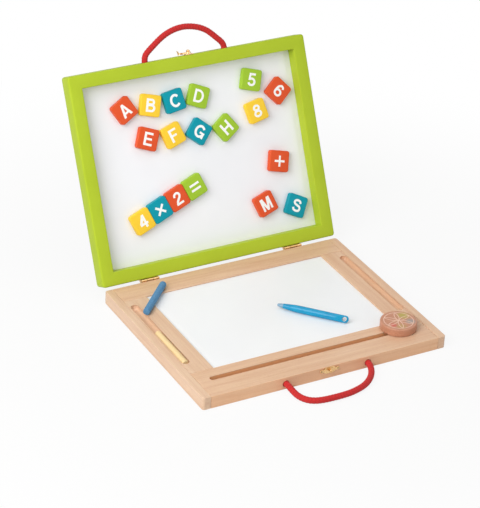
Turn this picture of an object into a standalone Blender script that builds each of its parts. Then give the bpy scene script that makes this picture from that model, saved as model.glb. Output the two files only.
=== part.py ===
"""Magnetic board case: a shallow beech base with a drawing screen and a slide eraser, and a painted lid
with a whiteboard, held open on two small brass hinges. Metres, +Z up, X along the hinge line.
The origin is at the middle of the base's underside, and the front of the base faces -Y."""

import math

import bmesh
import bpy
from mathutils import Vector

# Base box
BASE_WIDTH = 0.350
BASE_DEPTH = 0.279
BASE_HEIGHT = 0.0175
SIDE_RAIL_WIDTH = 0.0113
WALL_THICK = 0.014
BOTTOM_THICK = 0.003
CORNER_RADIUS = 0.0035
WOOD_BEVEL = 0.0007
JOINT_GAP = 0.0003

# Deck boards round the screen
FRONT_BOARD_DEPTH = 0.0566
REAR_BOARD_DEPTH = 0.034
SIDE_BOARD_WIDTH = 0.03255
SCREEN_LIP_THICK = 0.0019
SCREEN_LIP_REACH = 0.004
SCREEN_THICK = 0.0036
SCREEN_SEAT_GAP = 0.0002
DECK_BELOW_SCREEN = 0.0003

# Chalk troughs in the side boards
TROUGH_RADIUS = 0.0059
TROUGH_DEPTH = 0.0075
TROUGH_FRONT_MARGIN = 0.0212
TROUGH_REAR_MARGIN = 0.0128
TROUGH_EDGE_WALL = 0.001
TROUGH_BLOCK_WALL = 0.0012

# Slide eraser
SLOT_WIDTH = 0.008
SLOT_FROM_FRONT = 0.036
SLOT_LEFT_MARGIN = 0.028
KNOB_RADIUS = 0.024
KNOB_HEIGHT = 0.0104
KNOB_STAND = 0.0005
KNOB_EDGE_RADIUS = 0.0014
KNOB_SET_BACK = 0.0065
KNOB_PARK_GAP = 0.0035
SPINDLE_RADIUS = 0.0032
SPINDLE_END_GAP = 0.0003
KNOB_LID_CLEARANCE = 0.0005
ERASER_WIDTH = 0.008
ERASER_FRONT_OVERHANG = 0.009
ERASER_END_GAP = 0.002
MAGNET_THICK = 0.0013
MAGNET_MARGIN = 0.0005

# Lid
CLOSED_GAP = 0.002
AXIS_BEHIND_BASE = 0.0016
LID_LEAN_DEG = 24.73
LID_RAIL_WIDTH = 0.018
LID_REBATE_WIDTH = 0.0062
LID_CORNER_RADIUS = 0.004
LID_EDGE_RADIUS = 0.002
BOARD_THICK = 0.0017
BOARD_GAP = 0.0002
BACK_RECESS = 0.0012
TILE_CLOSE_CLEARANCE = 0.00035

# Hinges and their stop heels
HINGE_LENGTH = 0.026
HINGE_INSET = 0.067
LEAF_THICK = 0.0009
LEAF_REACH = 0.0095
KNUCKLE_RADIUS = 0.0015
KNUCKLE_BORE_RADIUS = 0.00085
PIN_RADIUS = 0.00055
KNUCKLE_SHARE = 1 / 3
HEEL_REACH = 0.0052
HEEL_DEPTH = 0.0026

# Latch: a swing hook on the lid's free edge and a stud on the base's front
LATCH_X = 0.0026
LATCH_PLATE_WIDTH = 0.013
LATCH_PLATE_HEIGHT = 0.0085
LATCH_PLATE_THICK = 0.0008
LATCH_GAP = 0.0003
LATCH_DEPTH = 0.005
HOOK_LENGTH = 0.012
HOOK_THICK = 0.0022
HOOK_ARM_WIDTH = 0.0032
HOOK_RING_RADIUS = 0.0035
RIVET_RADIUS = 0.0013
RIVET_HEAD_RADIUS = 0.0028
RIVET_HEAD_THICK = 0.0014
RIVET_CROWN_SHARE = 0.6
CATCH_WIDTH = 0.028
CATCH_HEIGHT = 0.0088
CATCH_THICK = 0.001
STUD_RADIUS = 0.0015
STUD_HEAD_RADIUS = 0.0023
STUD_HEAD_THICK = 0.0012
STUD_FIT = 0.0004

# Rope handles
ROPE_RADIUS = 0.0041
ROPE_FIT = 0.0007
ROPE_SPACING = 0.118
ROPE_BLIND_DEPTH = 0.011
BASE_ROPE_HEIGHT = 0.0078
ROPE_POINT_STEP = 0.0135

# Letter and number tiles
TILE_SIZE = 0.029
TILE_THICK = 0.008
TILE_CORNER_RADIUS = 0.0034
TILE_EDGE_BEVEL = 0.0009
TILE_BACK_GAP = 0.00015
TILE_SPACING = 0.002
SUM_TILE_GAP = 0.0004
SUM_TURN_DEG = 20.5
SECOND_ROW_SLOPE_DEG = -2.7
CLUSTER_SIDE_GAP = 0.0015
CLUSTER_ROW_GAP = 0.0089
PAIR_STAGGER = 0.0112

# Stylus and chalks
STYLUS_LENGTH = 0.097
STYLUS_RADIUS = 0.00485
STYLUS_TAPER_SHARE = 0.42
STYLUS_TIP_LENGTH = 0.008
STYLUS_TIP_RADIUS = 0.0024
STYLUS_POINT_RADIUS = 0.0011
STYLUS_EYE_RADIUS = 0.0025
STYLUS_EYE_SHARE = 0.057
STYLUS_EYE_TILT_DEG = 56
STYLUS_TURN_DEG = -47.6
BLUE_CHALK_RADIUS = 0.0047
BLUE_CHALK_LENGTH = 0.075
BLUE_CHALK_TURN_DEG = 46.7
YELLOW_CHALK_RADIUS = 0.0045
YELLOW_CHALK_LENGTH = 0.078
CHALK_END_BEVEL = 0.0008
YELLOW_CHALK_END_REACH = 0.0015
REST_GAP = 0.0003

CUT_OVERRUN = 0.004

HINGE_SIDES = {"left": -1, "right": 1}

# Places of the loose pieces as shares of the base's width and depth: x from the middle, y from the front
STYLUS_PLACE_SHARES = (0.1284, 0.4167)
BLUE_CHALK_PLACE_SHARES = (-0.362, 0.822)

# Tiles and their turns, row by row from the left
TOP_ROW = (("A", 29.0), ("B", -16.4), ("C", 8.6), ("D", -24.2))
SECOND_ROW = (("E", -22.1), ("F", 18.5), ("G", -41.2), ("H", 34.8))
SUM_ROW = ("4", "times", "2", "equals")
SINGLE_TURNS_DEG = {"5": -17.5, "6": -49.8, "8": 11.9, "plus": -14.5, "M": 18.4, "S": -28.0}

# How the whiteboard's spare room is shared out before, between and after the groups of tiles
TOP_ROW_ACROSS_SHARES = (0.42, 0.49, 0.09)
SECOND_ROW_ACROSS_SHARES = (0.76, 0.15, 0.09)
LOWER_ACROSS_SHARES = (0.32, 0.527, 0.078, 0.075)
PLUS_ACROSS_SHARES = (0.906, 0.094)
LEFT_UP_SHARES = (0.404, 0.336, 0.047, 0.213)
RIGHT_UP_SHARES = (0.166, 0.212, 0.467, 0.155)

# Outline of the latch's catch as shares of its half width and half height, from its end to its middle
CATCH_OUTLINE_SHARES = ((1.0, 0.0), (0.97, 0.3), (0.88, 0.5), (0.76, 0.52), (0.67, 0.4), (0.58, 0.45),
                        (0.52, 0.72), (0.42, 0.93), (0.28, 1.0))

# Rope routes, chosen by hand: the base's in (x, y from the front face, z),
# the lid's in (x, distance past the free edge)
BASE_ROPE_ROUTE = [
    (-0.0590, 0.0080, 0.0078), (-0.0590, 0.0000, 0.0078), (-0.0585, -0.0060, 0.0074),
    (-0.0578, -0.0130, 0.0060), (-0.0569, -0.0200, 0.0048), (-0.0557, -0.0262, 0.0044),
    (-0.0531, -0.0332, 0.0044), (-0.0483, -0.0394, 0.0044), (-0.0417, -0.0434, 0.0044),
    (-0.0343, -0.0454, 0.0044), (-0.0264, -0.0464, 0.0044), (-0.0160, -0.0468, 0.0044),
    (-0.0050, -0.0468, 0.0044), (0.0060, -0.0460, 0.0044), (0.0163, -0.0438, 0.0044),
    (0.0262, -0.0406, 0.0044), (0.0357, -0.0357, 0.0044), (0.0440, -0.0292, 0.0044),
    (0.0507, -0.0220, 0.0046), (0.0556, -0.0145, 0.0055), (0.0583, -0.0070, 0.0070),
    (0.0590, 0.0000, 0.0078), (0.0590, 0.0080, 0.0078),
]
LID_ROPE_ROUTE = [
    (-0.0590, -0.0080), (-0.0590, 0.0000), (-0.0585, 0.0042), (-0.0569, 0.0082), (-0.0541, 0.0116),
    (-0.0488, 0.0157), (-0.0427, 0.0199), (-0.0358, 0.0246), (-0.0285, 0.0289), (-0.0208, 0.0325),
    (-0.0125, 0.0352), (-0.0040, 0.0368), (0.0049, 0.0373), (0.0138, 0.0364), (0.0225, 0.0344),
    (0.0306, 0.0313), (0.0382, 0.0268), (0.0446, 0.0211), (0.0503, 0.0153), (0.0545, 0.0111),
    (0.0573, 0.0075), (0.0586, 0.0040), (0.0590, 0.0000), (0.0590, -0.0080),
]

# Worked out
HALF_WIDTH = BASE_WIDTH / 2
HALF_DEPTH = BASE_DEPTH / 2
INNER_HALF_WIDTH = HALF_WIDTH - SIDE_RAIL_WIDTH - JOINT_GAP / 2
OPENING_HALF_WIDTH = INNER_HALF_WIDTH - SIDE_BOARD_WIDTH
SIDE_BOARD_FRONT = FRONT_BOARD_DEPTH + JOINT_GAP
SIDE_BOARD_REAR = BASE_DEPTH - REAR_BOARD_DEPTH - JOINT_GAP
TROUGH_FRONT = SIDE_BOARD_FRONT + TROUGH_FRONT_MARGIN
TROUGH_LENGTH = SIDE_BOARD_REAR - TROUGH_REAR_MARGIN - TROUGH_FRONT
SCREEN_TOP = BASE_HEIGHT - SCREEN_LIP_THICK - SCREEN_SEAT_GAP
SCREEN_UNDER = SCREEN_TOP - SCREEN_THICK
DECK_UNDER = SCREEN_UNDER - DECK_BELOW_SCREEN
TROUGH_X = INNER_HALF_WIDTH - TROUGH_EDGE_WALL - TROUGH_RADIUS
BLOCK_INNER_X = TROUGH_X - TROUGH_RADIUS - TROUGH_BLOCK_WALL
LID_OPENING_HALF_WIDTH = HALF_WIDTH - LID_RAIL_WIDTH
SLIDE_RIGHT_X = LID_OPENING_HALF_WIDTH - KNOB_LID_CLEARANCE - KNOB_RADIUS
KNOB_X = SLIDE_RIGHT_X - KNOB_PARK_GAP
SLOT_END_SPARE = SLOT_WIDTH / 2 - SPINDLE_RADIUS
SLOT_RIGHT_X = SLIDE_RIGHT_X + SPINDLE_RADIUS + SLOT_END_SPARE / 2
SLOT_LEFT_X = SLOT_LEFT_MARGIN - HALF_WIDTH
SLIDE_LEFT_X = SLOT_LEFT_X + SPINDLE_RADIUS + SLOT_END_SPARE / 2
ERASER_TOP = DECK_UNDER - JOINT_GAP
AXIS_Y = HALF_DEPTH + AXIS_BEHIND_BASE
AXIS_Z = BASE_HEIGHT + CLOSED_GAP / 2
LEAN = math.radians(LID_LEAN_DEG)
RECESS_DEPTH = (KNOB_STAND + KNOB_HEIGHT + TILE_THICK + TILE_BACK_GAP + TILE_CLOSE_CLEARANCE - CLOSED_GAP)
LID_THICK = RECESS_DEPTH + 2 * BOARD_THICK + BOARD_GAP + BACK_RECESS
LID_MIDDLE = LID_THICK / 2
ROPE_HOLE_RADIUS = ROPE_RADIUS + ROPE_FIT


def clear_scene():
    for ob in list(bpy.data.objects):
        bpy.data.objects.remove(ob)


def linear(value):
    value = value / 255
    if value <= 0.04045:
        return value / 12.92
    return ((value + 0.055) / 1.055) ** 2.4


def material(name, colour, roughness, metallic=0.0):
    mat = bpy.data.materials.new(name)
    mat.use_nodes = True
    shader = mat.node_tree.nodes["Principled BSDF"]
    shader.inputs["Base Color"].default_value = (*(linear(c) for c in colour), 1.0)
    shader.inputs["Roughness"].default_value = roughness
    shader.inputs["Metallic"].default_value = metallic
    return mat


def add_object(name, bm, mat=None, parent=None, location=(0, 0, 0), rotation=(0, 0, 0)):
    bmesh.ops.recalc_face_normals(bm, faces=bm.faces)
    mesh = bpy.data.meshes.new(name)
    bm.to_mesh(mesh)
    bm.free()
    return place_mesh(name, mesh, mat, parent, location, rotation)


def place_mesh(name, mesh, mat=None, parent=None, location=(0, 0, 0), rotation=(0, 0, 0)):
    ob = bpy.data.objects.new(name, mesh)
    bpy.context.scene.collection.objects.link(ob)
    if mat is not None and not mesh.materials:
        mesh.materials.append(mat)
    ob.parent = parent
    ob.location = location
    ob.rotation_euler = rotation
    return ob


def shade_round(ob, angle_deg=35):
    ob.data.shade_smooth()
    ob.data.set_sharp_from_angle(angle=math.radians(angle_deg))


def arc(centre, radius, start_deg, end_deg, steps):
    points = []
    for i in range(steps + 1):
        angle = math.radians(start_deg + (end_deg - start_deg) * i / steps)
        points.append((centre[0] + radius * math.cos(angle), centre[1] + radius * math.sin(angle)))
    return points


def circle(radius, steps, centre=(0, 0)):
    return arc(centre, radius, 0, 360 - 360 / steps, steps - 1)


def rounded_polygon(corners, radii, steps=4):
    """Outline with each right-angled corner rounded by its own radius."""
    points = []
    count = len(corners)
    for i, corner in enumerate(corners):
        here = Vector(corner)
        if radii[i] == 0:
            points.append(tuple(here))
            continue
        back = (Vector(corners[i - 1]) - here).normalized() * radii[i]
        ahead = (Vector(corners[(i + 1) % count]) - here).normalized() * radii[i]
        centre = here + back + ahead
        for k in range(steps + 1):
            turn = math.radians(90 * k / steps)
            point = centre - ahead * math.cos(turn) - back * math.sin(turn)
            points.append(tuple(point))
    return points


def rectangle(x0, y0, x1, y1):
    return [(x0, y0), (x1, y0), (x1, y1), (x0, y1)]


def loft(loops):
    """Closed solid through loops of 3-D points, each with the same count."""
    bm = bmesh.new()
    rings = [[bm.verts.new(p) for p in loop] for loop in loops]
    count = len(rings[0])
    for low, high in zip(rings, rings[1:]):
        for i in range(count):
            j = (i + 1) % count
            bm.faces.new((low[i], low[j], high[j], high[i]))
    bm.faces.new(list(reversed(rings[0])))
    bm.faces.new(rings[-1])
    return bm


def along_z(outline, height):
    return [(x, y, height) for x, y in outline]


def along_x(outline, place):
    return [(place, y, z) for y, z in outline]


def along_y(outline, place):
    return [(x, place, z) for x, z in outline]


def prism_z(outline, low, high):
    return loft([along_z(outline, low), along_z(outline, high)])


def prism_x(outline, low, high):
    return loft([along_x(outline, low), along_x(outline, high)])


def prism_y(outline, low, high):
    return loft([along_y(outline, low), along_y(outline, high)])


def turned(profile, steps):
    """Solid of revolution about X from (x, radius) stations."""
    loops = []
    for x, radius in profile:
        loops.append([(x, a, b) for a, b in circle(radius, steps)])
    return loft(loops)


def boolean(target, tool, operation):
    tool.hide_render = True
    tool.display_type = "WIRE"
    mod = target.modifiers.new(tool.name, "BOOLEAN")
    mod.operation = operation
    mod.solver = "EXACT"
    mod.object = tool
    tool.name = "cut_" + tool.name
    return mod


def cut(target, tool):
    return boolean(target, tool, "DIFFERENCE")


def join(target, tool):
    return boolean(target, tool, "UNION")


def keep_inside(target, tool):
    return boolean(target, tool, "INTERSECT")


def bevel(ob, width=WOOD_BEVEL, segments=2):
    mod = ob.modifiers.new("edge_bevel", "BEVEL")
    mod.width = width
    mod.segments = segments
    mod.limit_method = "ANGLE"
    mod.angle_limit = math.radians(40)
    return mod


def from_front(y):
    """World Y of a place measured back from the base's front face."""
    return y - HALF_DEPTH


def smooth_route(points, step):
    """Even points on a smooth curve through the hand-chosen ones."""
    route = [Vector(p) for p in points]
    fine = []
    ends = [2 * route[0] - route[1]] + route + [2 * route[-1] - route[-2]]
    fine_steps = 12
    for i in range(1, len(ends) - 2):
        p0, p1, p2, p3 = ends[i - 1:i + 3]
        for k in range(fine_steps):
            t = k / fine_steps
            fine.append(((2 * p1) + (p2 - p0) * t + (2 * p0 - 5 * p1 + 4 * p2 - p3) * t ** 2
                         + (3 * p1 - p0 - 3 * p2 + p3) * t ** 3) / 2)
    fine.append(route[-1])
    lengths = [0.0]
    for a, b in zip(fine, fine[1:]):
        lengths.append(lengths[-1] + (b - a).length)
    total = lengths[-1]
    count = max(2, round(total / step))
    even = []
    place = 0
    for i in range(count + 1):
        wanted = total * i / count
        while place < len(lengths) - 2 and lengths[place + 1] < wanted:
            place += 1
        span = lengths[place + 1] - lengths[place]
        share = (wanted - lengths[place]) / span
        even.append(fine[place].lerp(fine[place + 1], share))
    return even, total


def rope(name, points, mat, parent=None):
    route, length = smooth_route(points, ROPE_POINT_STEP)
    curve = bpy.data.curves.new(name, "CURVE")
    curve.dimensions = "3D"
    curve.bevel_depth = ROPE_RADIUS
    curve.bevel_resolution = 3
    curve.use_fill_caps = True
    spline = curve.splines.new("POLY")
    spline.points.add(len(route) - 1)
    for point, place in zip(spline.points, route):
        point.co = (*place, 1.0)
    curve.materials.append(mat)
    ob = bpy.data.objects.new(name, curve)
    bpy.context.scene.collection.objects.link(ob)
    ob.parent = parent
    print(name, "length", round(length, 4))
    return ob


# Base
def side_rail(name, side, mat):
    inner = HALF_WIDTH - SIDE_RAIL_WIDTH
    corners = rectangle(inner, -HALF_DEPTH, HALF_WIDTH, HALF_DEPTH)
    outline = rounded_polygon(corners, (0, CORNER_RADIUS, CORNER_RADIUS, 0))
    bm = prism_z([(side * x, y) for x, y in outline], 0, BASE_HEIGHT)
    bevel(add_object(name, bm, mat))


def wall_board_profile(depth, wall):
    """Cross-section of a deck board with its outer wall, in (distance from the outer face, z)."""
    seat = BASE_HEIGHT - SCREEN_LIP_THICK
    return [(0, 0), (wall, 0), (wall, DECK_UNDER), (depth - SCREEN_LIP_REACH, DECK_UNDER),
            (depth - SCREEN_LIP_REACH, seat), (depth, seat), (depth, BASE_HEIGHT), (0, BASE_HEIGHT)]


def front_board(mat):
    profile = [(from_front(d), z) for d, z in wall_board_profile(FRONT_BOARD_DEPTH, WALL_THICK)]
    board = add_object("base_front_board", prism_x(profile, -INNER_HALF_WIDTH, INNER_HALF_WIDTH), mat)
    bevel(board)
    half = SLOT_WIDTH / 2
    y = from_front(SLOT_FROM_FRONT)
    ends = arc((SLOT_RIGHT_X - half, y), half, -90, 90, 12)
    ends += arc((SLOT_LEFT_X + half, y), half, 90, 270, 12)
    slot = prism_z(ends, DECK_UNDER - CUT_OVERRUN, BASE_HEIGHT + CUT_OVERRUN)
    cut(board, add_object("slot", slot))
    for name, side in HINGE_SIDES.items():
        hole = prism_y(circle(ROPE_HOLE_RADIUS, 20, (side * ROPE_SPACING / 2, BASE_ROPE_HEIGHT)),
                       from_front(-CUT_OVERRUN), from_front(ROPE_BLIND_DEPTH))
        cut(board, add_object("rope_hole_" + name, hole))


def rear_board(mat):
    profile = [(HALF_DEPTH - d, z) for d, z in wall_board_profile(REAR_BOARD_DEPTH, WALL_THICK)]
    bevel(add_object("base_rear_board", prism_x(profile, -INNER_HALF_WIDTH, INNER_HALF_WIDTH), mat))


def side_board(name, side, mat):
    """Side board: its outer part is a block down to the bottom panel, with a chalk trough in its top."""
    seat = BASE_HEIGHT - SCREEN_LIP_THICK
    outer = INNER_HALF_WIDTH
    floor = BOTTOM_THICK + JOINT_GAP
    lip_back = OPENING_HALF_WIDTH + SCREEN_LIP_REACH
    profile = [(outer, floor), (outer, BASE_HEIGHT), (OPENING_HALF_WIDTH, BASE_HEIGHT),
               (OPENING_HALF_WIDTH, seat), (lip_back, seat), (lip_back, DECK_UNDER),
               (BLOCK_INNER_X, DECK_UNDER), (BLOCK_INNER_X, floor)]
    low, high = from_front(SIDE_BOARD_FRONT), from_front(SIDE_BOARD_REAR)
    board = add_object(name, prism_y([(side * x, z) for x, z in profile], low, high), mat)
    bevel(board)
    middle = BASE_HEIGHT - TROUGH_DEPTH + TROUGH_RADIUS
    half_straight = TROUGH_LENGTH / 2 - TROUGH_RADIUS
    stations = []
    round_steps = 4
    tip_radius = TROUGH_RADIUS * math.sin(math.radians(90 / round_steps / 2))
    for i in range(round_steps + 1):
        angle = math.radians(90 * i / round_steps)
        reach = TROUGH_RADIUS * math.cos(angle)
        stations.append((-half_straight - reach, max(TROUGH_RADIUS * math.sin(angle), tip_radius)))
    stations += [(-x, radius) for x, radius in reversed(stations)]
    trough = turned(stations, 24)
    place = (side * TROUGH_X, from_front(TROUGH_FRONT + TROUGH_LENGTH / 2), middle)
    cut(board, add_object("trough_" + name, trough, location=place, rotation=(0, 0, math.radians(90))))


def bottom_panel(mat):
    inset = WALL_THICK + JOINT_GAP
    outline = rectangle(-INNER_HALF_WIDTH, from_front(inset), INNER_HALF_WIDTH, HALF_DEPTH - inset)
    add_object("base_bottom_panel", prism_z(outline, 0, BOTTOM_THICK), mat)


def screen(mat):
    reach = SCREEN_LIP_REACH - JOINT_GAP
    x = OPENING_HALF_WIDTH + reach
    low = from_front(FRONT_BOARD_DEPTH - reach)
    high = HALF_DEPTH - REAR_BOARD_DEPTH + reach
    add_object("drawing_screen", prism_z(rectangle(-x, low, x, high), SCREEN_UNDER, SCREEN_TOP), mat)


# Slide eraser
def slide_eraser(knob_mat, spindle_mat, bar_mat, magnet_mat):
    slide = bpy.data.objects.new("eraser_slide", None)
    bpy.context.scene.collection.objects.link(slide)
    slide.location = (KNOB_X, from_front(SLOT_FROM_FRONT), 0)
    loops = []
    low = BASE_HEIGHT + KNOB_STAND
    fillet_steps = 3
    for i in range(fillet_steps + 1):
        angle = math.radians(90 * i / fillet_steps)
        drop = KNOB_EDGE_RADIUS * (1 - math.sin(angle))
        loops.append((low + drop, KNOB_RADIUS - KNOB_EDGE_RADIUS * (1 - math.cos(angle))))
    loops.sort()
    rings = loops + [(2 * low + KNOB_HEIGHT - z, radius) for z, radius in reversed(loops)]
    bm = loft([along_z(circle(radius, 48, (0, KNOB_SET_BACK)), z) for z, radius in rings])
    shade_round(add_object("slider_knob", bm, knob_mat, slide))
    bar_top = ERASER_TOP - MAGNET_THICK - JOINT_GAP
    top = BASE_HEIGHT + KNOB_STAND - SPINDLE_END_GAP
    bm = prism_z(circle(SPINDLE_RADIUS, 24), bar_top + SPINDLE_END_GAP, top)
    shade_round(add_object("slider_spindle", bm, spindle_mat, slide))
    half = ERASER_WIDTH / 2
    screen_back = BASE_DEPTH - REAR_BOARD_DEPTH - SLOT_FROM_FRONT
    outline = rectangle(-half, -ERASER_FRONT_OVERHANG, half, screen_back - ERASER_END_GAP)
    bar = prism_z(outline, BOTTOM_THICK + JOINT_GAP, bar_top)
    bevel(add_object("eraser_bar", bar, bar_mat, slide), segments=1)
    strip_half = half - MAGNET_MARGIN
    screen_front = FRONT_BOARD_DEPTH - SLOT_FROM_FRONT
    outline = rectangle(-strip_half, screen_front + ERASER_END_GAP,
                        strip_half, screen_back - 2 * ERASER_END_GAP)
    add_object("eraser_magnet", prism_z(outline, bar_top + JOINT_GAP, ERASER_TOP), magnet_mat, slide)


# Lid, built in its own frame: X along the hinge, Y up the lid, Z out of its whiteboard side
def lid_point(x, s, n):
    """Lid frame place of x, the distance s up from its hinge edge and n behind its front face."""
    return (x, s + AXIS_BEHIND_BASE, -(n + CLOSED_GAP / 2))


def lid_empty():
    lid = bpy.data.objects.new("lid_pivot", None)
    bpy.context.scene.collection.objects.link(lid)
    lid.location = (0, AXIS_Y, AXIS_Z)
    lid.rotation_euler = (math.pi / 2 - LEAN, 0, 0)
    return lid


def lid_rail_profile():
    """Cross-section in (distance in from the outer edge, depth behind the front face)."""
    lip = RECESS_DEPTH - BOARD_GAP
    corners = [(0, 0), (LID_RAIL_WIDTH, 0), (LID_RAIL_WIDTH, lip), (LID_RAIL_WIDTH - LID_REBATE_WIDTH, lip),
               (LID_RAIL_WIDTH - LID_REBATE_WIDTH, LID_THICK), (0, LID_THICK)]
    return rounded_polygon(corners, (LID_EDGE_RADIUS, LID_EDGE_RADIUS / 2, 0, 0, 0, LID_EDGE_RADIUS), 3)


def lid_rails(mat, lid):
    corners = rectangle(-HALF_WIDTH, 0, HALF_WIDTH, BASE_DEPTH)
    outline = rounded_polygon(corners, (LID_CORNER_RADIUS,) * 4)
    depths = (-CUT_OVERRUN, LID_THICK + CUT_OVERRUN)
    loops = [[lid_point(x, s, n) for x, s in outline] for n in depths]
    envelope = add_object("lid_envelope", loft(loops), parent=lid)
    mitre = JOINT_GAP / 2
    profile = lid_rail_profile()
    far = HALF_WIDTH - mitre
    high = BASE_DEPTH - mitre
    ends = {
        "left": [lambda d: (d - HALF_WIDTH, d + mitre), lambda d: (d - HALF_WIDTH, high - d)],
        "right": [lambda d: (HALF_WIDTH - d, d + mitre), lambda d: (HALF_WIDTH - d, high - d)],
        "bottom": [lambda d: (d - far, d), lambda d: (far - d, d)],
        "top": [lambda d: (d - far, BASE_DEPTH - d), lambda d: (far - d, BASE_DEPTH - d)],
    }
    rails = {}
    for side, (start, end) in ends.items():
        loops = [[lid_point(*place(d), n) for d, n in profile] for place in (start, end)]
        rails[side] = add_object(f"lid_{side}_rail", loft(loops), mat, lid)
        keep_inside(rails[side], envelope)
    envelope.name = "cut_lid_envelope"
    for name, side in HINGE_SIDES.items():
        loops = []
        for s in (BASE_DEPTH - ROPE_BLIND_DEPTH, BASE_DEPTH + CUT_OVERRUN):
            ring = circle(ROPE_HOLE_RADIUS, 20, (side * ROPE_SPACING / 2, LID_MIDDLE))
            loops.append([lid_point(x, s, n) for x, n in ring])
        cut(rails["top"], add_object("lid_rope_hole_" + name, loft(loops), parent=lid))


def lid_panel(name, front, mat, lid):
    """A board that fills the rebate, its front face at this depth behind the lid's front face."""
    edge = LID_RAIL_WIDTH - LID_REBATE_WIDTH + JOINT_GAP
    outline = rectangle(-HALF_WIDTH + edge, edge, HALF_WIDTH - edge, BASE_DEPTH - edge)
    loops = [[lid_point(x, s, n) for x, s in outline] for n in (front, front + BOARD_THICK)]
    add_object(name, loft(loops), mat, lid)


# Hinges, in (y, z) about the hinge axis
def base_leaf(mat):
    half = HINGE_LENGTH / 2
    knuckle = HINGE_LENGTH * KNUCKLE_SHARE / 2
    face = -AXIS_BEHIND_BASE + JOINT_GAP
    start = -KNUCKLE_RADIUS - JOINT_GAP
    slab = rectangle(face, start - LEAF_REACH, face + LEAF_THICK, start)
    leaf = add_object("left_hinge_base_leaf", prism_x(slab, -half, half), mat)
    web = rectangle(face, start - LEAF_THICK, face + LEAF_THICK, 0)
    for side in (-1, 1):
        low, high = sorted((side * (knuckle + JOINT_GAP), side * half))
        join(leaf, add_object("web", prism_x(web, low, high)))
        join(leaf, add_object("knuckle", prism_x(circle(KNUCKLE_RADIUS, 20), low, high)))
    bore = prism_x(circle(KNUCKLE_BORE_RADIUS, 16), -half - CUT_OVERRUN, half + CUT_OVERRUN)
    cut(leaf, add_object("bore", bore))
    return leaf


def lid_leaf(mat):
    half = HINGE_LENGTH / 2
    knuckle = HINGE_LENGTH * KNUCKLE_SHARE / 2
    face = AXIS_BEHIND_BASE - JOINT_GAP
    start = -KNUCKLE_RADIUS - JOINT_GAP
    slab = rectangle(face - LEAF_THICK, start - LEAF_REACH, face, start)
    leaf = add_object("left_hinge_lid_leaf", prism_x(slab, -half, half), mat)
    web = rectangle(face - LEAF_THICK, start - LEAF_THICK, face, 0)
    join(leaf, add_object("lid_web", prism_x(web, -knuckle, knuckle)))
    join(leaf, add_object("lid_knuckle", prism_x(circle(KNUCKLE_RADIUS, 20), -knuckle, knuckle)))
    join(leaf, add_object("heel", prism_x(heel_outline(), -half, half)))
    bore = prism_x(circle(KNUCKLE_BORE_RADIUS, 16), -half - CUT_OVERRUN, half + CUT_OVERRUN)
    cut(leaf, add_object("lid_bore", bore))
    return leaf


def heel_outline():
    """Stop heel that fills the angle between the leaves when the lid leans back, in the lid's (Y, Z)."""
    stop = -AXIS_BEHIND_BASE + LEAF_THICK + 2 * JOINT_GAP
    clear = KNUCKLE_RADIUS + JOINT_GAP
    leaf_side = AXIS_BEHIND_BASE - JOINT_GAP - LEAF_THICK / 2
    top = -clear * math.sqrt(1 + math.tan(LEAN) ** 2) - CLOSED_GAP / 4
    low = top - HEEL_DEPTH
    at_rest = [(stop, top), (stop, low), (stop + HEEL_DEPTH, low)]
    points = []
    for y, z in at_rest:
        points.append((math.sin(LEAN) * y + math.cos(LEAN) * z, math.sin(LEAN) * z - math.cos(LEAN) * y))
    points.append((leaf_side, -HEEL_REACH - clear))
    points.append((leaf_side, -clear - LEAF_THICK))
    return points


def hinges(mat, pin_mat, lid):
    base = base_leaf(mat)
    moving = lid_leaf(mat)
    ends = HINGE_LENGTH / 2 + JOINT_GAP
    pin = add_object("left_hinge_pin", prism_x(circle(PIN_RADIUS, 12), -ends, ends), pin_mat)
    shade_round(pin)
    hinge_x = HALF_WIDTH - HINGE_INSET
    for ob in (base, pin):
        ob.location = (-hinge_x, AXIS_Y, AXIS_Z)
    moving.parent = lid
    moving.location = (-hinge_x, 0, 0)
    for ob in (base, moving, pin):
        twin = place_mesh(ob.name.replace("left", "right"), ob.data, parent=ob.parent,
                          location=(hinge_x, *ob.location[1:]))
        copy_tools(ob, twin)


def copy_tools(source, target):
    """Give the other hinge's piece the same cuts, at its own place."""
    for mod in source.modifiers:
        tool = mod.object
        tool.parent = source
        other = place_mesh(tool.name + "_right", tool.data, parent=target)
        operation = mod.operation
        boolean(target, other, operation)


# Latch
def latch(mat, lid):
    half = LATCH_PLATE_WIDTH / 2
    tall = LATCH_PLATE_HEIGHT / 2
    low = BASE_DEPTH + LATCH_GAP
    outline = rectangle(LATCH_X - half, LATCH_DEPTH - tall, LATCH_X + half, LATCH_DEPTH + tall)
    loops = [[lid_point(x, s, n) for x, n in outline] for s in (low, low + LATCH_PLATE_THICK)]
    bevel(add_object("latch_plate", loft(loops), mat, lid), LATCH_PLATE_THICK / 4, 1)
    pivot = lid_point(LATCH_X, low + LATCH_PLATE_THICK + LATCH_GAP, LATCH_DEPTH)
    head = HOOK_THICK + 2 * LATCH_GAP
    crown = RIVET_HEAD_RADIUS * RIVET_CROWN_SHARE
    stations = [(0, RIVET_RADIUS), (head, RIVET_RADIUS), (head, RIVET_HEAD_RADIUS),
                (head + RIVET_HEAD_THICK / 2, RIVET_HEAD_RADIUS), (head + RIVET_HEAD_THICK, crown)]
    rivet = add_object("latch_rivet", turned(stations, 24), mat, lid, pivot, (0, 0, math.radians(90)))
    shade_round(rivet)
    hook(mat, lid, pivot)


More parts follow.
